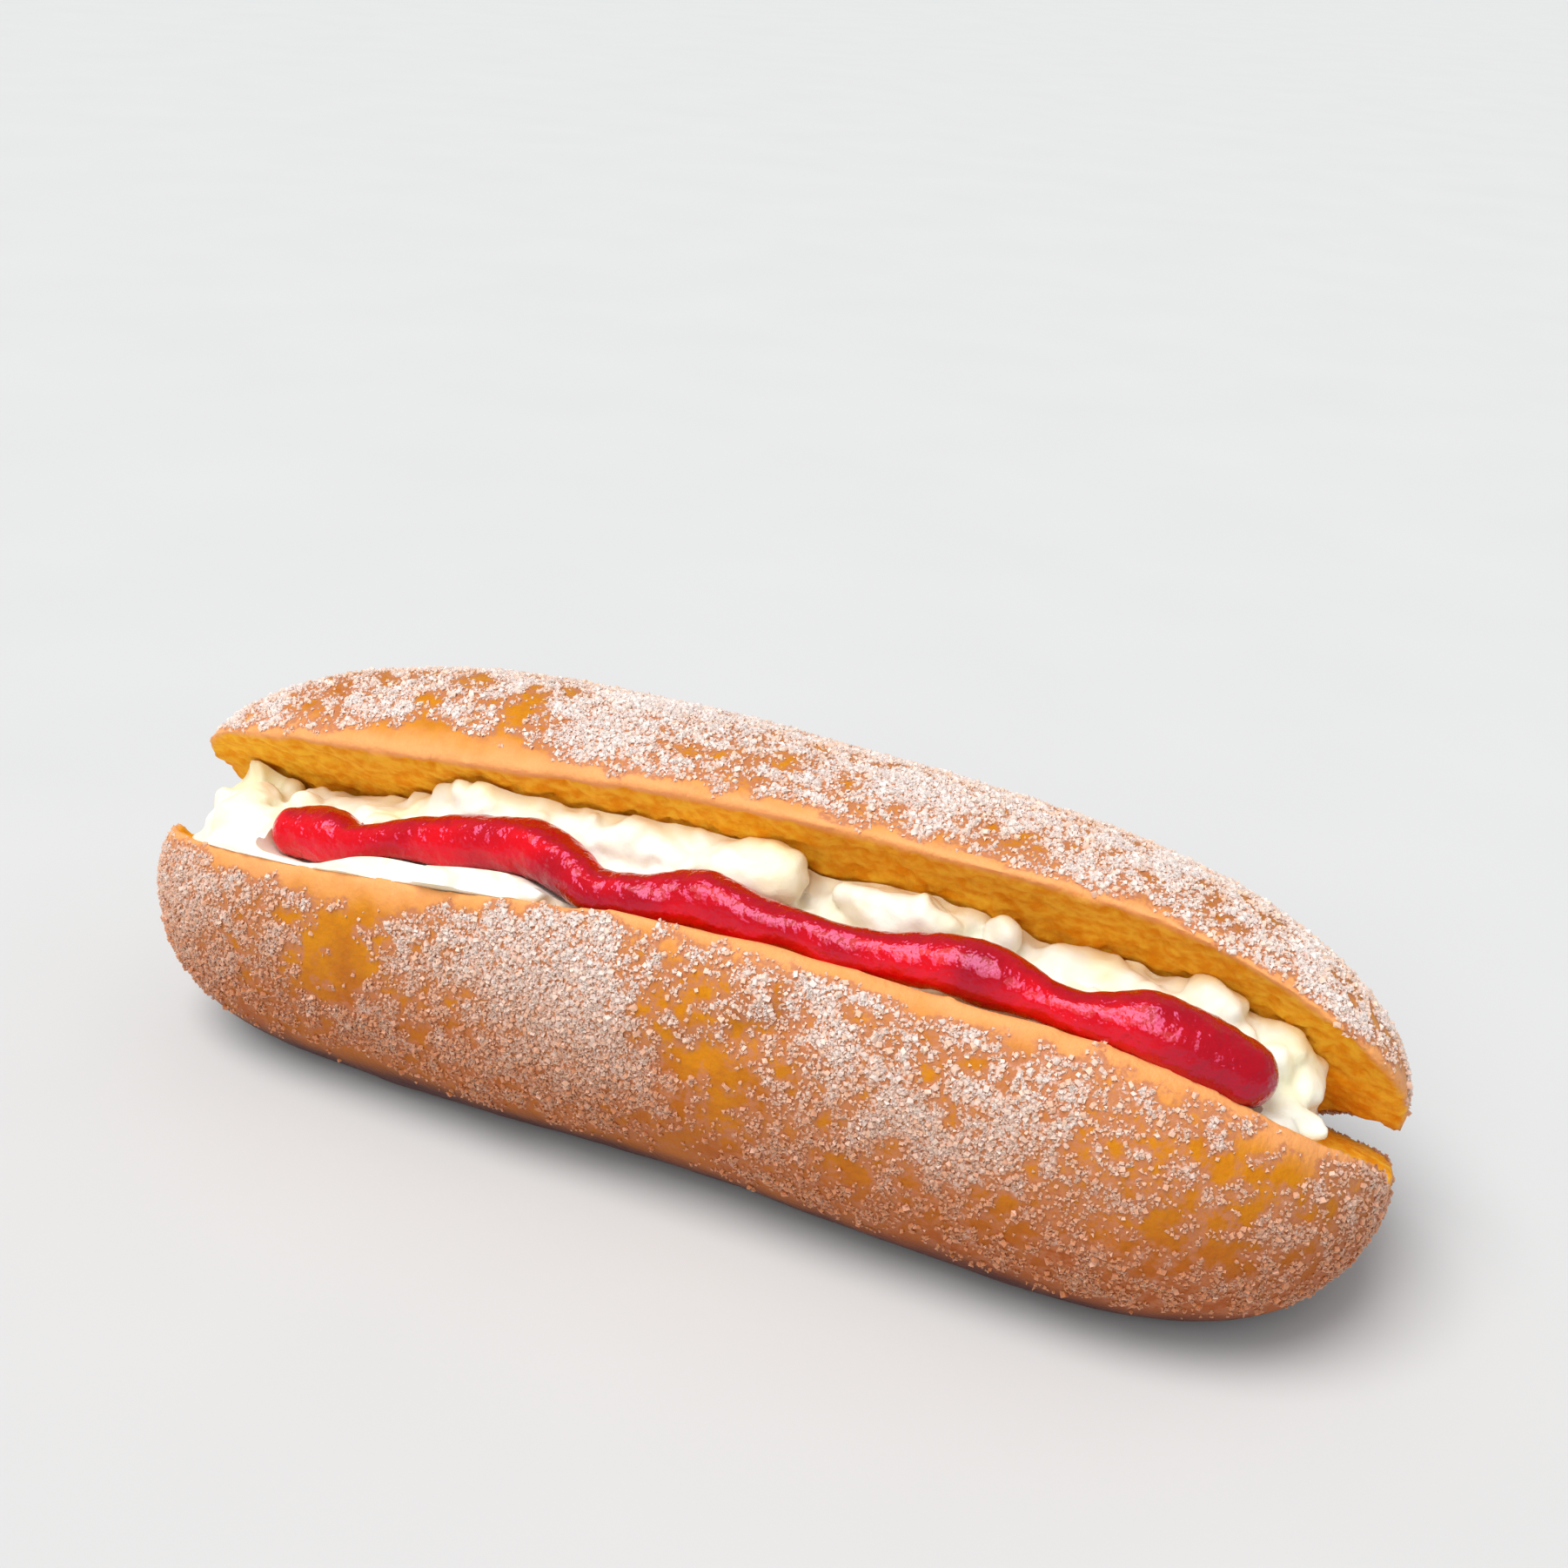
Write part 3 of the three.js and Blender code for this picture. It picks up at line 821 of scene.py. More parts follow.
# %% Jam
JAM = [  # x, height of the top over the lip, radius, how far it leans out
    (-59.5, 7.2, 3.4, 0),
    (-55.5, 8, 4.1, 0),
    (-52.5, 7.8, 3.8, 0),
    (-49, 5.9, 2.3, 0),
    (-45.5, 6.9, 2.3, 0),
    (-42, 8.1, 2.8, 0),
    (-36, 9.2, 3.6, 0),
    (-29.5, 9.9, 3.6, 0),
    (-24, 10.4, 3.9, 0),
    (-19.5, 8.6, 3.7, 0.3),
    (-16, 6.7, 3.4, 0.5),
    (-12.5, 4.4, 2.9, 0.8),
    (-6, 4.7, 3, 1),
    (-3, 5.4, 3.3, 1),
    (2, 7.3, 4, 1),
    (5.5, 6.2, 3.8, 1),
    (9, 5.4, 3.4, 0.8),
    (14, 4.8, 2.6, 0.6),
    (20, 4.4, 2.9, 1),
    (26, 4.8, 2.8, 1.2),
    (31, 6.2, 3.4, 1.4),
    (34, 7.2, 3.6, 1.6),
    (39, 7.2, 4, 1.8),
    (42, 6.4, 3.6, 1.4),
    (47, 4.6, 2.5, 0.8),
    (51, 4.3, 2.6, 1.2),
    (55, 5.9, 3.5, 2.2),
    (58, 7.3, 4.2, 2.8),
    (61, 7.6, 4.5, 3),
    (69.5, 7, 4.3, 2.6),
]
JAM_SETBACK = (0.8, 0.9, 0.29)  # from the lip: at the start, per radius and per rise
MOUTH_TILT = math.radians(30)
JAM_RINGS = 520
JAM_EASING = 1.5  # in millimetres along the rope
EASING_SPREADS = 3  # how many times that far it reaches each way

jam_x = np.linspace(JAM[0][0], JAM[-1][0], JAM_RINGS)


def eased(values):
    """Values along the rope, evened out over a short stretch."""
    steps = int(EASING_SPREADS * JAM_EASING / (jam_x[1] - jam_x[0]))
    spreads = np.linspace(-EASING_SPREADS, EASING_SPREADS, 2 * steps + 1)
    weights = np.exp(-0.5 * spreads**2)
    padded = np.pad(values, steps, mode="reflect", reflect_type="odd")
    return np.convolve(padded, weights / weights.sum(), mode="valid")


rows = np.array(JAM, float).T
jam_top, jam_radius, jam_lean = (eased(np.interp(jam_x, rows[0], row)) for row in rows[1:])
jam_rise = jam_top - jam_radius
setback = JAM_SETBACK[0] + JAM_SETBACK[1] * jam_radius + JAM_SETBACK[2] * jam_rise - jam_lean
inwards = np.array([0, math.cos(MOUTH_TILT), -math.sin(MOUTH_TILT)])
upwards = np.array([0, math.sin(MOUTH_TILT), math.cos(MOUTH_TILT)])
jam_middle = cut_point(jam_x, eased(lip(jam_x)), 0)
jam_middle = jam_middle + setback[:, None] * inwards + jam_rise[:, None] * upwards
jam_way = np.gradient(jam_middle, axis=0)
jam_way /= np.linalg.norm(jam_way, axis=1)[:, None]
print("jam's thickness in mm:", (2 * jam_radius.min()).round(1), "to", (2 * jam_radius.max()).round(1))

# %% [markdown]
# ### The rope's skin
#
# Rings stand across the middle line, with a round cap at each end. Noise ripples them, and where
# the rope lies on the base its underside is pressed flat, because jam takes the shape of its bed.

# %% The rope's skin
JAM_SIDES = 44
JAM_CAP_RINGS = 14
JAM_TIP = 0.04  # where a cap's first ring is, from 0 at its tip to 1 at the rope
JAM_RIPPLES = [(6, 0.08), (2.4, 0.055), (1.2, 0.022)]  # size, and height per radius
RIPPLE_SEED = 21
JAM_SINKS = 1.1  # how far its underside sinks into the base's soft lip
JAM_HANGS = (2, 1.6)  # from how far behind the lip it may hang lower, and how steeply


def rope():
    """The rope's middle, radius and way, with a round cap of shrinking rings at each end."""
    turn = np.linspace(JAM_TIP, 1, JAM_CAP_RINGS + 1)[:-1] * np.pi / 2
    before = jam_middle[0] - jam_way[0] * (jam_radius[0] * np.cos(turn))[:, None]
    after = jam_middle[-1] + jam_way[-1] * (jam_radius[-1] * np.cos(turn[::-1]))[:, None]
    caps = (jam_radius[0] * np.sin(turn), jam_radius[-1] * np.sin(turn[::-1]))
    radius = np.concatenate([caps[0], jam_radius, caps[1]])
    ends = (JAM_CAP_RINGS, 1)
    way = np.vstack([np.tile(jam_way[0], ends), jam_way, np.tile(jam_way[-1], ends)])
    return np.vstack([before, jam_middle, after]), radius[:, None, None], way


def jam_rings():
    """Rippled rings round the rope, pressed flat on the base."""
    middle, radius, way = rope()
    across = np.cross((0, 1, 0), way)
    across /= np.linalg.norm(across, axis=1)[:, None]
    side = np.cross(way, across)
    angle = np.linspace(0, 2 * np.pi, JAM_SIDES, endpoint=False)[None, :, None]
    spokes = side[:, None, :] * np.cos(angle) - across[:, None, :] * np.sin(angle)
    plain = middle[:, None, :] + spokes * radius
    ripple = swells(plain.reshape(-1, 3), JAM_RIPPLES, RIPPLE_SEED)
    points = plain + spokes * radius * ripple.reshape(plain.shape[:2])[..., None]
    reach, lift = reach_and_lift(points)
    over_lip = np.clip(reach - lip(points[..., 0]) + JAM_HANGS[0], 0, None)
    lowest = -JAM_SINKS - JAM_HANGS[1] * over_lip
    return cut_point(points[..., 0], reach, np.maximum(lift, lowest))


jam = loft("doughnut_jam", jam_rings())
print("jam triangles:", faces_in(jam))

# %% [markdown]
# ### Finish of the jam
#
# Jam is a clear red gel with a wet skin. A glass shader would be true but slow and too dark in
# a thin rope on white cream. So the depth of the gel is painted: red, and deeper in clouds and at
# its thick end. Its top is painted deeper too, as painted shade against the light from above.
# A little scattering inside softens it, and a clear coat over a bumpy skin gives the broken
# white lights.

# %% Finish of the jam
THIN_GEL = colour(216, 0, 2)
# Deeper gel in clouds and at the thick end, and painted shade on the rope's top.
DEEP_GEL_AND_SHADE = colour(120, 0, 14)

jam_look, tree, surface = start_material("red_jam")
clouds = ramp(tree, noise_node(tree, 11, 1), 0.4, 0.75, 0, 0.7)
thick_end = ramp(tree, axes(tree)["X"], 54 * MM, 68 * MM, 0, 0.6)
# Painted shade: the rope's top is painted deeper red, against the light from above.
top = ramp(tree, axes(tree, "Normal")["Z"], 0.75, 1, 0, 0.6)
deep_and_shade = maths(tree, "MAXIMUM", maths(tree, "MAXIMUM", clouds, thick_end), top)
finish = {
    "Base Color": mix(tree, deep_and_shade, THIN_GEL, DEEP_GEL_AND_SHADE),
    "Roughness": 0.16,
    "Normal": bump(tree, noise_node(tree, 1.4, 2), 0.45),
    "Subsurface Weight": 0.08,
    "Subsurface Scale": 2 * MM,
    "Subsurface Radius": (1, 0.05, 0.07),
    "Specular IOR Level": 0.55,
    "Specular Tint": (1, 0.4, 0.85, 1),
    "Coat Weight": 0.22,
    "Coat Roughness": 0.06,
}
fill_inputs(tree, surface, finish)
jam.data.materials.append(jam_look)
print("jam:", len(tree.nodes), "nodes")

# %% [markdown]
# ## Cream
#
# Whipped cream is spread into the mouth and breaks up as the doughnut is pressed and opened.
# What shows is a heap of soft chunks with flat torn sides and crisp folds between them.
# Metaballs would melt the folds away, and a height map on a smooth front has no overhangs. So
# chunks are heaped on an even core, and a voxel remesh makes one body of them, which is then
# trimmed to fit. The core fills the mouth from deep inside up to the cream's front.

# %% Cream: the core
CREAM_START = -80
CREAM_END = 76
CREAM_ROOT = 5  # reach of its back
ROOT_INSIDE = 1.5  # how far inside the back rim it stays at the bun's ends
CORE_RINGS = 160
CORE_FRONT = 12
CORE_BEHIND = 0.5  # how far the core lies behind the front
CORE_LEAST = 1  # its smallest depth
CORE_OVERLAP = 0.12  # share of the mouth's height that the core is too tall, before trimming
BARE_BASE = [5, 1.5, 0.8, 0.8, 0.8, 0.8, 4, 9, 10, 10, 10, 10, 8, 6, 3, 3]  # crumb at the lip
BARE_LID = [9, 18, 15, 14, 8, 7, 8, 8.5, 9.5, 13, 11, 13, 16, 15, 12, 18]

bare_base = along(BARE_BASE, CREAM_START, CREAM_END)
bare_lid = along(BARE_LID, CREAM_START, CREAM_END)


def cream_root(x):
    """The reach of the cream's back."""
    return np.maximum(CREAM_ROOT, back_rim(x) + ROOT_INSIDE)


def cream_front(x, share):
    """The reach of the cream's front, a share of the way up from the base to the lid."""
    return lip(x) - bare_base(x) + (bare_base(x) - bare_lid(x)) * share


def core_rings():
    """Rings across the mouth: down the front, and up the back."""
    x = np.linspace(CREAM_START, CREAM_END, CORE_RINGS)[:, None]
    share = np.linspace(1 + CORE_OVERLAP, -CORE_OVERLAP, CORE_FRONT)[None, :]
    root = cream_root(x)
    front = np.maximum(cream_front(x, share) - CORE_BEHIND, root + CORE_LEAST)
    back = mouth_point(x, root + 0 * share, share)
    return np.concatenate([mouth_point(x, front, share), back[:, ::-1]], axis=1)


cream = loft("doughnut_cream", core_rings())
print("core of the cream:", faces_in(cream), "triangles")

# %% [markdown]
# ### Chunks on the core
#
# A chunk is a ball with flats at random, as if it were torn. The large ones lie where a list puts
# them. Small ones come from a seeded draw, which gives the same heap each time.

# %% Chunks on the core
LARGE_CHUNKS = [  # x, y, z, and half sizes along, across and upwards
    (-76, -3, 35, 4.5, 5, 6),
    (-72, -12, 33.5, 6, 5, 4.5),
    (-60, -20.5, 35.5, 6, 3, 2),
    (-45, -21, 37, 5, 3, 2.2),
    (-33, -21, 39, 8, 3, 1.8),
    (-31, -9, 44.5, 13, 4, 3.5),
    (-13, -8, 43.5, 8, 4.5, 4),
    (4, -9, 44, 8, 4.5, 4.5),
    (23, -7, 43, 9, 4, 3.5),
    (37, -6, 42, 2, 2.5, 4.5),
    (49, -3, 39, 9, 4, 3.5),
    (64, -4, 39.5, 4, 3, 3),
    (72, -3, 34.5, 4.5, 4, 4),
    (75, -2, 32, 3, 4, 3),
    (73, -10, 31, 7, 3, 2),
]
SMALL_CHUNKS = 130
SMALL_CHUNK_SIZES = (1.4, 3.2)
SMALL_CHUNKS_SUNK = 0.45  # share of its size by which one lies behind the front
STRETCH = (0.5, 1.7)  # least and most, each way
CHUNK_SEED = 3
CHUNK_RINGS = 12
CHUNK_SIDES = 16
CHUNK_TIP = 0.12  # angle from its tip to its first ring, in radians
CHUNK_FLATS = 7
FLAT_DEPTH = 0.6  # where its flat sides are, from 0 in its middle to 1 on the whole ball


def random_turns(draw, count):
    """Random rotation matrices, from random unit quaternions."""
    w, x, y, z = draw.normal(size=(4, count))
    size = np.sqrt(w * w + x * x + y * y + z * z)
    w, x, y, z = w / size, x / size, y / size, z / size
    rows = [
        [1 - 2 * (y * y + z * z), 2 * (x * y - w * z), 2 * (x * z + w * y)],
        [2 * (x * y + w * z), 1 - 2 * (x * x + z * z), 2 * (y * z - w * x)],
        [2 * (x * z - w * y), 2 * (y * z + w * x), 1 - 2 * (x * x + y * y)],
    ]
    return np.array(rows).transpose(2, 0, 1)


def add_chunks(centres, sizes, turned):
    """Balls with flat torn sides, stretched to sizes and, if turned, lying at random."""
    turn = np.linspace(CHUNK_TIP, np.pi - CHUNK_TIP, CHUNK_RINGS)[:, None]
    angle = np.linspace(0, 2 * np.pi, CHUNK_SIDES, endpoint=False)[None, :]
    ball = [-np.cos(turn) + 0 * angle, np.sin(turn) * np.cos(angle), np.sin(turn) * np.sin(angle)]
    ball = np.stack(ball, axis=-1)
    points = []
    for centre, size in zip(centres, sizes):
        flats = chunk_draw.normal(size=(3, CHUNK_FLATS))
        flats /= np.linalg.norm(flats, axis=0)
        radius = (FLAT_DEPTH / np.maximum(ball @ flats, FLAT_DEPTH)).min(axis=-1)
        turn_by = random_turns(chunk_draw, 1)[0] if turned else np.eye(3)
        chunk = (ball * radius[..., None] * size) @ turn_by
        ends = [chunk[0].mean(axis=0), chunk[-1].mean(axis=0)]
        points.append(centre + np.vstack([chunk.reshape(-1, 3), ends]))
    shifts = range(0, len(points) * len(points[0]), len(points[0]))
    of_one = loft_faces(CHUNK_RINGS, CHUNK_SIDES)
    faces = [[corner + shift for corner in face] for shift in shifts for face in of_one]
    return add_piece("chunks", np.vstack(points), faces)


chunk_draw = np.random.default_rng(CHUNK_SEED)
small_x = chunk_draw.uniform(CREAM_START, CREAM_END, SMALL_CHUNKS)
small_share = chunk_draw.uniform(0, 1, SMALL_CHUNKS)
small_sizes = chunk_draw.uniform(*SMALL_CHUNK_SIZES, (SMALL_CHUNKS, 1))
small_sizes = small_sizes * chunk_draw.uniform(*STRETCH, (SMALL_CHUNKS, 3))
small_reach = cream_front(small_x, small_share) - SMALL_CHUNKS_SUNK * small_sizes[:, 1]
small_centres = mouth_point(small_x, small_reach, small_share)
large = np.array(LARGE_CHUNKS, float)
join_pieces(cream, add_chunks(large[:, :3], large[:, 3:], False))
join_pieces(cream, add_chunks(small_centres, small_sizes, True))
print("core and chunks:", faces_in(cream), "triangles")

# %% [markdown]
# ### Folds in the cream
#
# Stiff cream folds over itself, with crisp crests. They could be sculpted, but noise makes them
# all at once: without its sign it has sharp valleys, and turned over these are crests. Before
# that, a voxel remesh and a little smoothing melt core and chunks together. Deep folds may cross
# each other, and a Boolean fails on that, so a second remesh makes a clean body again.

# %% Folds in the cream
CREAM_VOXEL = 0.48
CREAM_SOFTENING = 1
FOLDS = [(8, 2.2), (3.6, 1.1), (1.8, 0.4)]  # size and height
FOLD_LEVEL = 0.4  # size of the noise at which the cream stays where it is
FOLD_SEED = 51

skin_over(cream, CREAM_VOXEL)
softening = cream.modifiers.new("softening", "SMOOTH")
softening.factor = 0.5
softening.iterations = CREAM_SOFTENING
bake_modifiers(cream)
points, normals = corners_of(cream)
folded = sum(h * (FOLD_LEVEL - np.abs(noise_at(points, size, FOLD_SEED))) for size, h in FOLDS)
move_corners(cream, points + normals * folded[:, None])
skin_over(cream, CREAM_VOXEL)
print("folds in mm:", folded.min().round(1), "to", folded.max().round(1))

# %% [markdown]
# ### Trimming the cream
#
# The heap is a little too large on purpose. What lies outside the room between the two cut faces
# goes, and so does what the jam needs. The jam was laid in last and pressed a groove, so nothing
# of the cream is left in front of it. Crumbs of cream that then hang free would be deleted. With
# these numbers there are none, but another seed for the chunks may well leave some.

# %% Trimming the cream
MOUTH_ENDS = (-85, 83)
MOUTH_RINGS = 200
MOUTH_SIDES = 40
MOUTH_PAST = 1.5  # how far past the lips cream may come
MOUTH_SAG = 0.06  # share of the mouth's height by which cream may sag over the base's soft lip
MOUTH_SAG_WIDTH = 5  # over this width beside the lip
GROOVE_GAP = 0.12  # between jam and cream
GROOVE_SIDES = 24
GROOVE_LENGTH = 25
CREASE = math.radians(55)  # from this angle on, an edge is shaded sharp


def mouth_rings():
    """The room between the two cut faces."""
    x = np.linspace(*MOUTH_ENDS, MOUTH_RINGS)[:, None]
    root = cream_root(x)
    reach = root + (lip(x) + MOUTH_PAST - root) * np.linspace(0, 1, MOUTH_SIDES)[None, :]
    upper = mouth_point(x, reach, np.ones_like(reach))
    sag = MOUTH_SAG * smooth_step(reach, lip(x) - MOUTH_SAG_WIDTH, lip(x))
    lower = mouth_point(x, reach, -sag)
    return np.concatenate([upper, lower[:, ::-1]], axis=1)


def groove_rings():
    """The room that the jam takes, and all that is in front of it."""
    middle, radius, way = rope()
    angle = np.linspace(-np.pi / 2, np.pi / 2, GROOVE_SIDES)[None, :, None]
    spokes = inwards * np.cos(angle) + upwards * np.sin(angle)
    back = middle[:, None, :] + spokes * (radius / way[:, :1, None] + GROOVE_GAP)
    front = back[:, [-1, 0]] - inwards * GROOVE_LENGTH
    return np.concatenate([back, front], axis=1)


def keep_largest(piece):
    """Deletes what isn't joined to the piece's main body, and says how many points that was.

    Each point takes the lowest number among its neighbours' until nothing changes. Then the
    points of one body have one number.
    """
    edges = np.empty(len(piece.data.edges) * 2, np.int32)
    piece.data.edges.foreach_get("vertices", edges)
    ends = edges.reshape(-1, 2).T
    label = np.arange(len(piece.data.vertices))
    before = None
    while before is None or (label != before).any():
        before = label.copy()
        lowest = label[ends].min(axis=0)
        for end in ends:
            np.minimum.at(label, end, lowest)
        label = label[label]
    main = np.bincount(label).argmax()
    mesh = bmesh.new()
    mesh.from_mesh(piece.data)
    loose = [corner for corner, keep in zip(mesh.verts, label == main) if not keep]
    bmesh.ops.delete(mesh, geom=loose, context="VERTS")
    mesh.to_mesh(piece.data)
    mesh.free()
    return len(loose)


combine(cream, loft("mouth", mouth_rings()), "INTERSECT")
combine(cream, loft("groove", groove_rings()), "DIFFERENCE")
loose_points = keep_largest(cream)
cream.data.set_sharp_from_angle(angle=CREASE)
points = corners_of(cream)[0]
reach, lift = reach_and_lift(points)
remember(cream, "share_up", np.arctan2(lift, reach) / gape(points[:, 0]))
print("cream triangles:", faces_in(cream), "and loose points deleted:", loose_points)

# %% [markdown]
# ### Finish of the cream
#
# Whipped cream is nearly white, here and there a little yellow, and soft because light goes into
# it. Plain white would look like plaster. Scattering below the surface gives that softness, and
# a faint shine shows its fat. Near the lid it is painted warmer and darker: partly crumb smeared
# into it, and partly painted shade under the lid.

# %% Finish of the cream
WHIPPED = colour(248, 252, 238)
RICH = colour(248, 246, 212)
# Crumb smeared into the cream near the lid, darkened as painted shade under the lid.
SMEAR_AND_SHADE = colour(252, 224, 160)  # where the lid has touched it

cream_look, tree, surface = start_material("whipped_cream")
tone = mix(tree, ramp(tree, noise_node(tree, 9), 0.4, 0.7), WHIPPED, RICH)
# Partly smear, partly painted shade: strongest where the cream meets the lid.
smear_and_shade = maths(tree, "MULTIPLY_ADD", noise_node(tree, 3), 0.3, stored(tree, "share_up"))
finish = {
    "Base Color": mix(tree, ramp(tree, smear_and_shade, 0.95, 1.2, 0, 0.6), tone, SMEAR_AND_SHADE),
    "Roughness": 0.42,
    "Normal": bump(tree, noise_node(tree, 0.8, 3), 0.08),
    "Subsurface Weight": 0.25,
    "Subsurface Scale": 2 * MM,
    "Subsurface Radius": (0.9, 0.9, 0.7),
    "Specular IOR Level": 0.3,
}
fill_inputs(tree, surface, finish)
cream.data.materials.clear()  # the Booleans leave an empty slot behind
cream.data.materials.append(cream_look)
print("cream:", len(tree.nodes), "nodes")

# %% [markdown]
# ## Sugar crystals
#
# Sugar is small clear blocks and the splinters of broken ones. Particles or Geometry Nodes could
# scatter one block, but then every crystal has the same shape. Here each crystal starts from one
# of three forms, with its corners and its faces, and later gets a size, turn and broken corners
# of its own. The finest are four-sided splinters, so that there can be many of them.

# %% Sugar crystals
BLOCK = (
    np.array([(x, y, z) for x in (-1, 1) for y in (-1, 1) for z in (-1, 1)]) / 2,
    np.array([(0, 1, 3, 2), (4, 6, 7, 5), (0, 4, 5, 1), (2, 3, 7, 6), (0, 2, 6, 4), (1, 5, 7, 3)]),
)
WEDGE = (
    np.array([(-1, -1, -1), (1, -1, -1), (0, 1, -1), (-1, -1, 1), (1, -1, 1), (0, 1, 1)]) / 2,
    np.array([(0, 2, 1), (3, 4, 5), (0, 1, 3), (1, 4, 3), (1, 2, 4), (2, 5, 4), (2, 0, 5), (0, 3, 5)]),
)
SPLINTER = (
    np.array([(1, 1, 1), (-1, -1, 1), (-1, 1, -1), (1, -1, -1)]) * 0.42,
    np.array([(0, 2, 1), (0, 1, 3), (0, 3, 2), (1, 2, 3)]),
)
GRAIN_KINDS = {  # name: shape, how many, smallest and largest edge in millimetres
    "sugar_fine": (SPLINTER, 46000, 0.3, 0.5),
    "sugar_medium": (WEDGE, 23000, 0.3, 0.5),
    "sugar_coarse": (BLOCK, 7000, 0.4, 0.64),
}
print("crystals:", sum(kind[1] for kind in GRAIN_KINDS.values()))

# %% [markdown]
# ### Scattering the crystals
#
# Each crystal draws its place on the crust, more often where sugar lies thickly, and all crystals
# of one kind become one mesh. The draws are seeded. A crystal keeps how thickly sugar lies round
# it, because its colour depends on that.

# %% Scattering the crystals
SEED = 7
SUNK = 0.3  # share of a crystal's size that is in the crust
BROKEN = 0.16  # how far a corner is moved, per edge
UNEVEN = (0.75, 1.2)  # how long its three edges are, as shares of its size
CROWDING = 1.6  # above 1, the crystals crowd where sugar lies thickly


def places_on_crust(draw, count):
    """Random places on the crust, its normals, and how thickly sugar lies there."""
    mesh = dough.data
    mesh.calc_loop_triangles()
    triangles = np.empty(len(mesh.loop_triangles) * 3, np.int32)
    mesh.loop_triangles.foreach_get("vertices", triangles)
    triangles = triangles.reshape(-1, 3)
    places, directions = corners_of(dough)
    corners = places[triangles]
    edges = corners[:, 1:] - corners[:, :1]
    area = np.linalg.norm(np.cross(edges[:, 0], edges[:, 1]), axis=1)
    amount = sugar[triangles].mean(axis=1)
    weight = area * amount**CROWDING
    chosen = draw.choice(len(triangles), count, p=weight / weight.sum())
    shares = draw.dirichlet((1, 1, 1), count)[..., None]
    directions = directions[triangles[chosen]].mean(axis=1)
    return (corners[chosen] * shares).sum(axis=1), directions, amount[chosen]


def add_crystals(draw, name, shape, count, smallest, largest):
    """One piece of many crystals of one form, each with a size, turn and corners of its own."""
    corners, sides = shape
    places, directions, amount = places_on_crust(draw, count)
    size = draw.uniform(smallest, largest, (count, 1, 1)) * draw.uniform(*UNEVEN, (count, 1, 3))
    crystals = (corners + draw.uniform(-BROKEN, BROKEN, (count, len(corners), 3))) * size
    crystals = np.einsum("nij,nkj->nki", random_turns(draw, count), crystals)
    raised = places + directions * (size.mean(axis=2) * (0.5 - SUNK))
    faces = sides[None] + len(corners) * np.arange(count)[:, None, None]
    points = (crystals + raised[:, None, :]).reshape(-1, 3)
    piece = add_piece(name, points, faces.reshape(-1, sides.shape[1]).tolist())
    piece.data.shade_flat()
    remember(piece, "thick", np.repeat(amount, len(corners)))
    return piece


sugar_draw = np.random.default_rng(SEED)
grains = [add_crystals(sugar_draw, name, *kind) for name, kind in GRAIN_KINDS.items()]
print("sugar triangles:", {piece.name: faces_in(piece) for piece in grains})

# %% [markdown]
# ### Finish of the sugar
#
# Sugar that lies thickly stays dry and white, and single grains take up fat from the crust. Both
# are painted browner and darker low down, as painted shade. A random tint for each crystal keeps
# them apart, and light scatters inside them, so that their shaded sides aren't dark.

# %% Finish of the sugar
# Each pair: the colour high up, and a browner, darker one low down as painted shade.
SINGLE = (colour(246, 206, 180), colour(188, 116, 70))  # dry and moist
HEAPED = (colour(250, 236, 230), colour(200, 158, 132))

sugar_look, tree, surface = start_material("sugar_crystal")
tint = add_node(tree, "ShaderNodeNewGeometry").outputs["Random Per Island"]
height = axes(tree)["Z"]
whiteness = maths(tree, "MULTIPLY_ADD", tint, 0.7, stored(tree, "thick"))
# Painted shade: sugar is less white low down.
whiteness = maths(tree, "SUBTRACT", whiteness, ramp(tree, height, 10 * MM, 46 * MM, 0.6, 0))
# Painted shade: from 1 near the table to 0 high up.
painted_low_shade = ramp(tree, height, 8 * MM, 48 * MM, 1, 0)
single = mix(tree, painted_low_shade, *SINGLE)
finish = {
    "Base Color": mix(tree, ramp(tree, whiteness, 0.5, 1.5), single, mix(tree, painted_low_shade, *HEAPED)),
    "Roughness": 0.3,
    "Subsurface Weight": 0.6,
    "Subsurface Scale": 0.6 * MM,
    "Subsurface Radius": (1, 1, 1),
}
fill_inputs(tree, surface, finish)
for piece in grains:
    piece.data.materials.append(sugar_look)
print("sugar:", len(tree.nodes), "nodes")
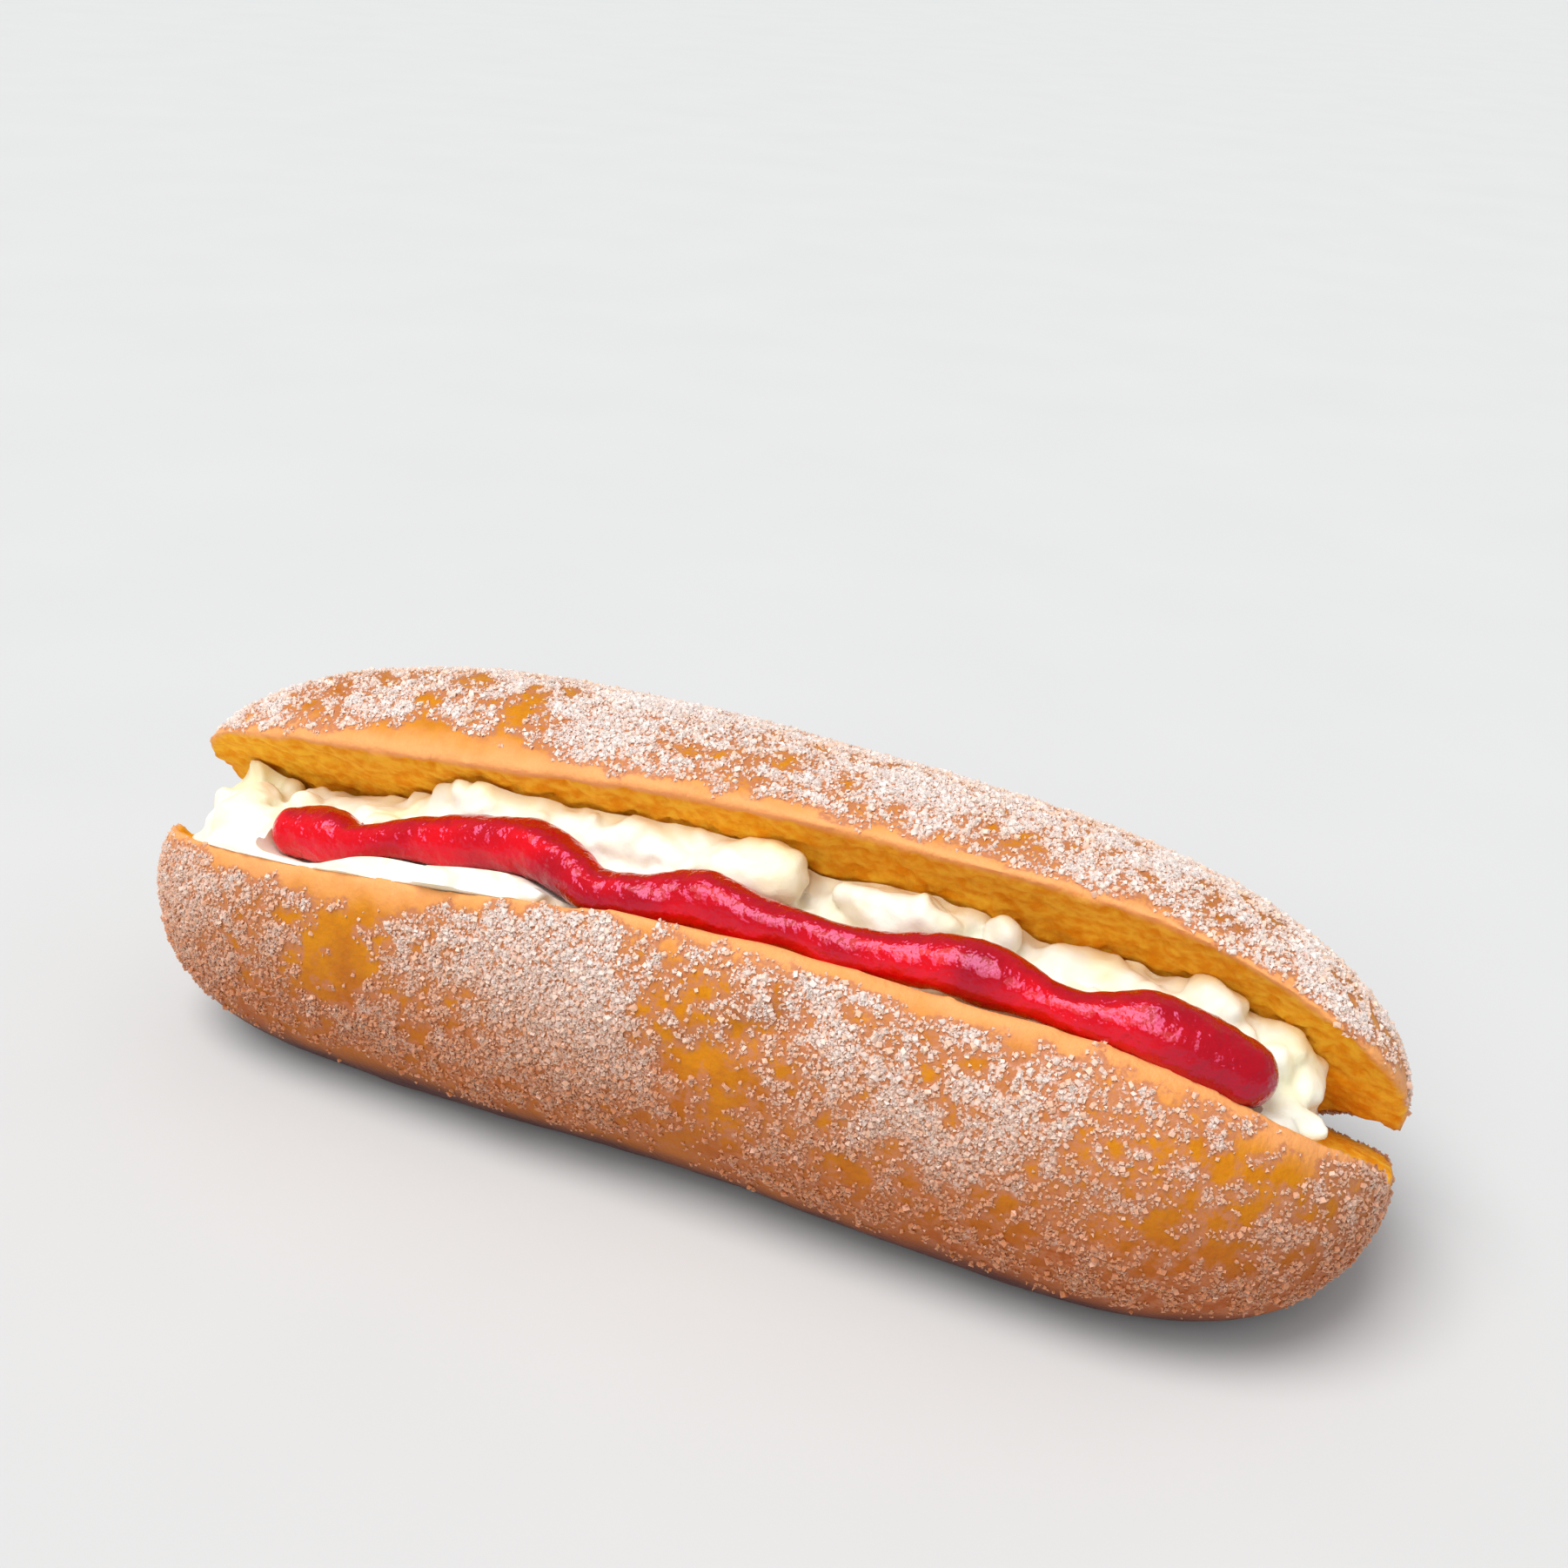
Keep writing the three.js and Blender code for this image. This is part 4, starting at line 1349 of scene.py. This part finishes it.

# %% [markdown]
# ## Into the frame
#
# Everything so far lies in the bun's own axes. The imported solid is centred over its footprint, so
# the pieces move together by the difference between the two dough boxes. Then each piece is
# attached to the body it moves with, and the solids that dough, jam and cream replace are hidden.

# %% Into the frame
solid_low, solid_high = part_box("dough")
own_y = corners_of(dough)[0][:, 1]
shift = Vector((0, (solid_low[1] + solid_high[1] - MM * (own_y.min() + own_y.max())) / 2, 0))
print("shift in mm:", [round(v / MM, 2) for v in shift])
for piece in [dough, jam, cream, *grains]:
    piece.data.transform(Matrix.Translation(shift))
    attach(piece, "root")
for piece, node in ((dough, "dough"), (jam, "jam"), (cream, "cream")):
    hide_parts(node)

# %% [markdown]
# ## Table
#
# The doughnut lies on a plain pale table. A plane could be scaled up in the viewport, but four
# corners and one face say the same. Its grey is a little uneven, as a painted board's is.

# %% Table
TABLE = 12  # half of its side, in metres
TABLE_GREYS = (colour(208, 209, 210), colour(213, 214, 215))

table_mesh = bpy.data.meshes.new("table")
table_corners = [(-TABLE, -TABLE, 0), (TABLE, -TABLE, 0), (TABLE, TABLE, 0), (-TABLE, TABLE, 0)]
table_mesh.from_pydata(table_corners, [], [(0, 1, 2, 3)])
table = bpy.data.objects.new("table", table_mesh)
bpy.context.scene.collection.objects.link(table)
table_look, tree, surface = start_material("pale_table")
tone = mix(tree, noise_node(tree, 60), *TABLE_GREYS)
fill_inputs(tree, surface, {"Base Color": tone, "Roughness": 0.9})
table.data.materials.append(table_look)
print("table's side in m:", 2 * TABLE)

# %% [markdown]
# ## Light
#
# Soft daylight: a window high up on the viewer's side, which gives the jam its lights, and a
# weaker one from the front so that the open mouth isn't dark. Area lights would leave the far
# table dim, so both are sun lights, made soft by a wide angle. An even world does the rest.

# %% Light
def add_light(name, place, width, strength, tint):
    """A far light of this width in degrees, which shines from place on the whole table alike."""
    data = bpy.data.lights.new(name, "SUN")
    data.angle = math.radians(width)
    data.energy = strength
    data.color = tint
    light = bpy.data.objects.new(name, data)
    light.location = place
    light.rotation_euler = Vector(place).to_track_quat("Z", "Y").to_euler()
    bpy.context.scene.collection.objects.link(light)


add_light("window", (-0.2, -0.38, 0.9), width=38, strength=2.4, tint=(1, 0.99, 0.97))
add_light("fill", (0, -0.78, 0.62), width=32, strength=0.9, tint=(1, 0.99, 0.96))
world = bpy.data.worlds.new("daylight")
world.use_nodes = True
sky = {"Color": (0.97, 0.98, 1, 1), "Strength": 0.42}
fill_inputs(world.node_tree, world.node_tree.nodes["Background"], sky)
bpy.context.scene.world = world
bpy.context.scene.view_settings.view_transform = "Standard"
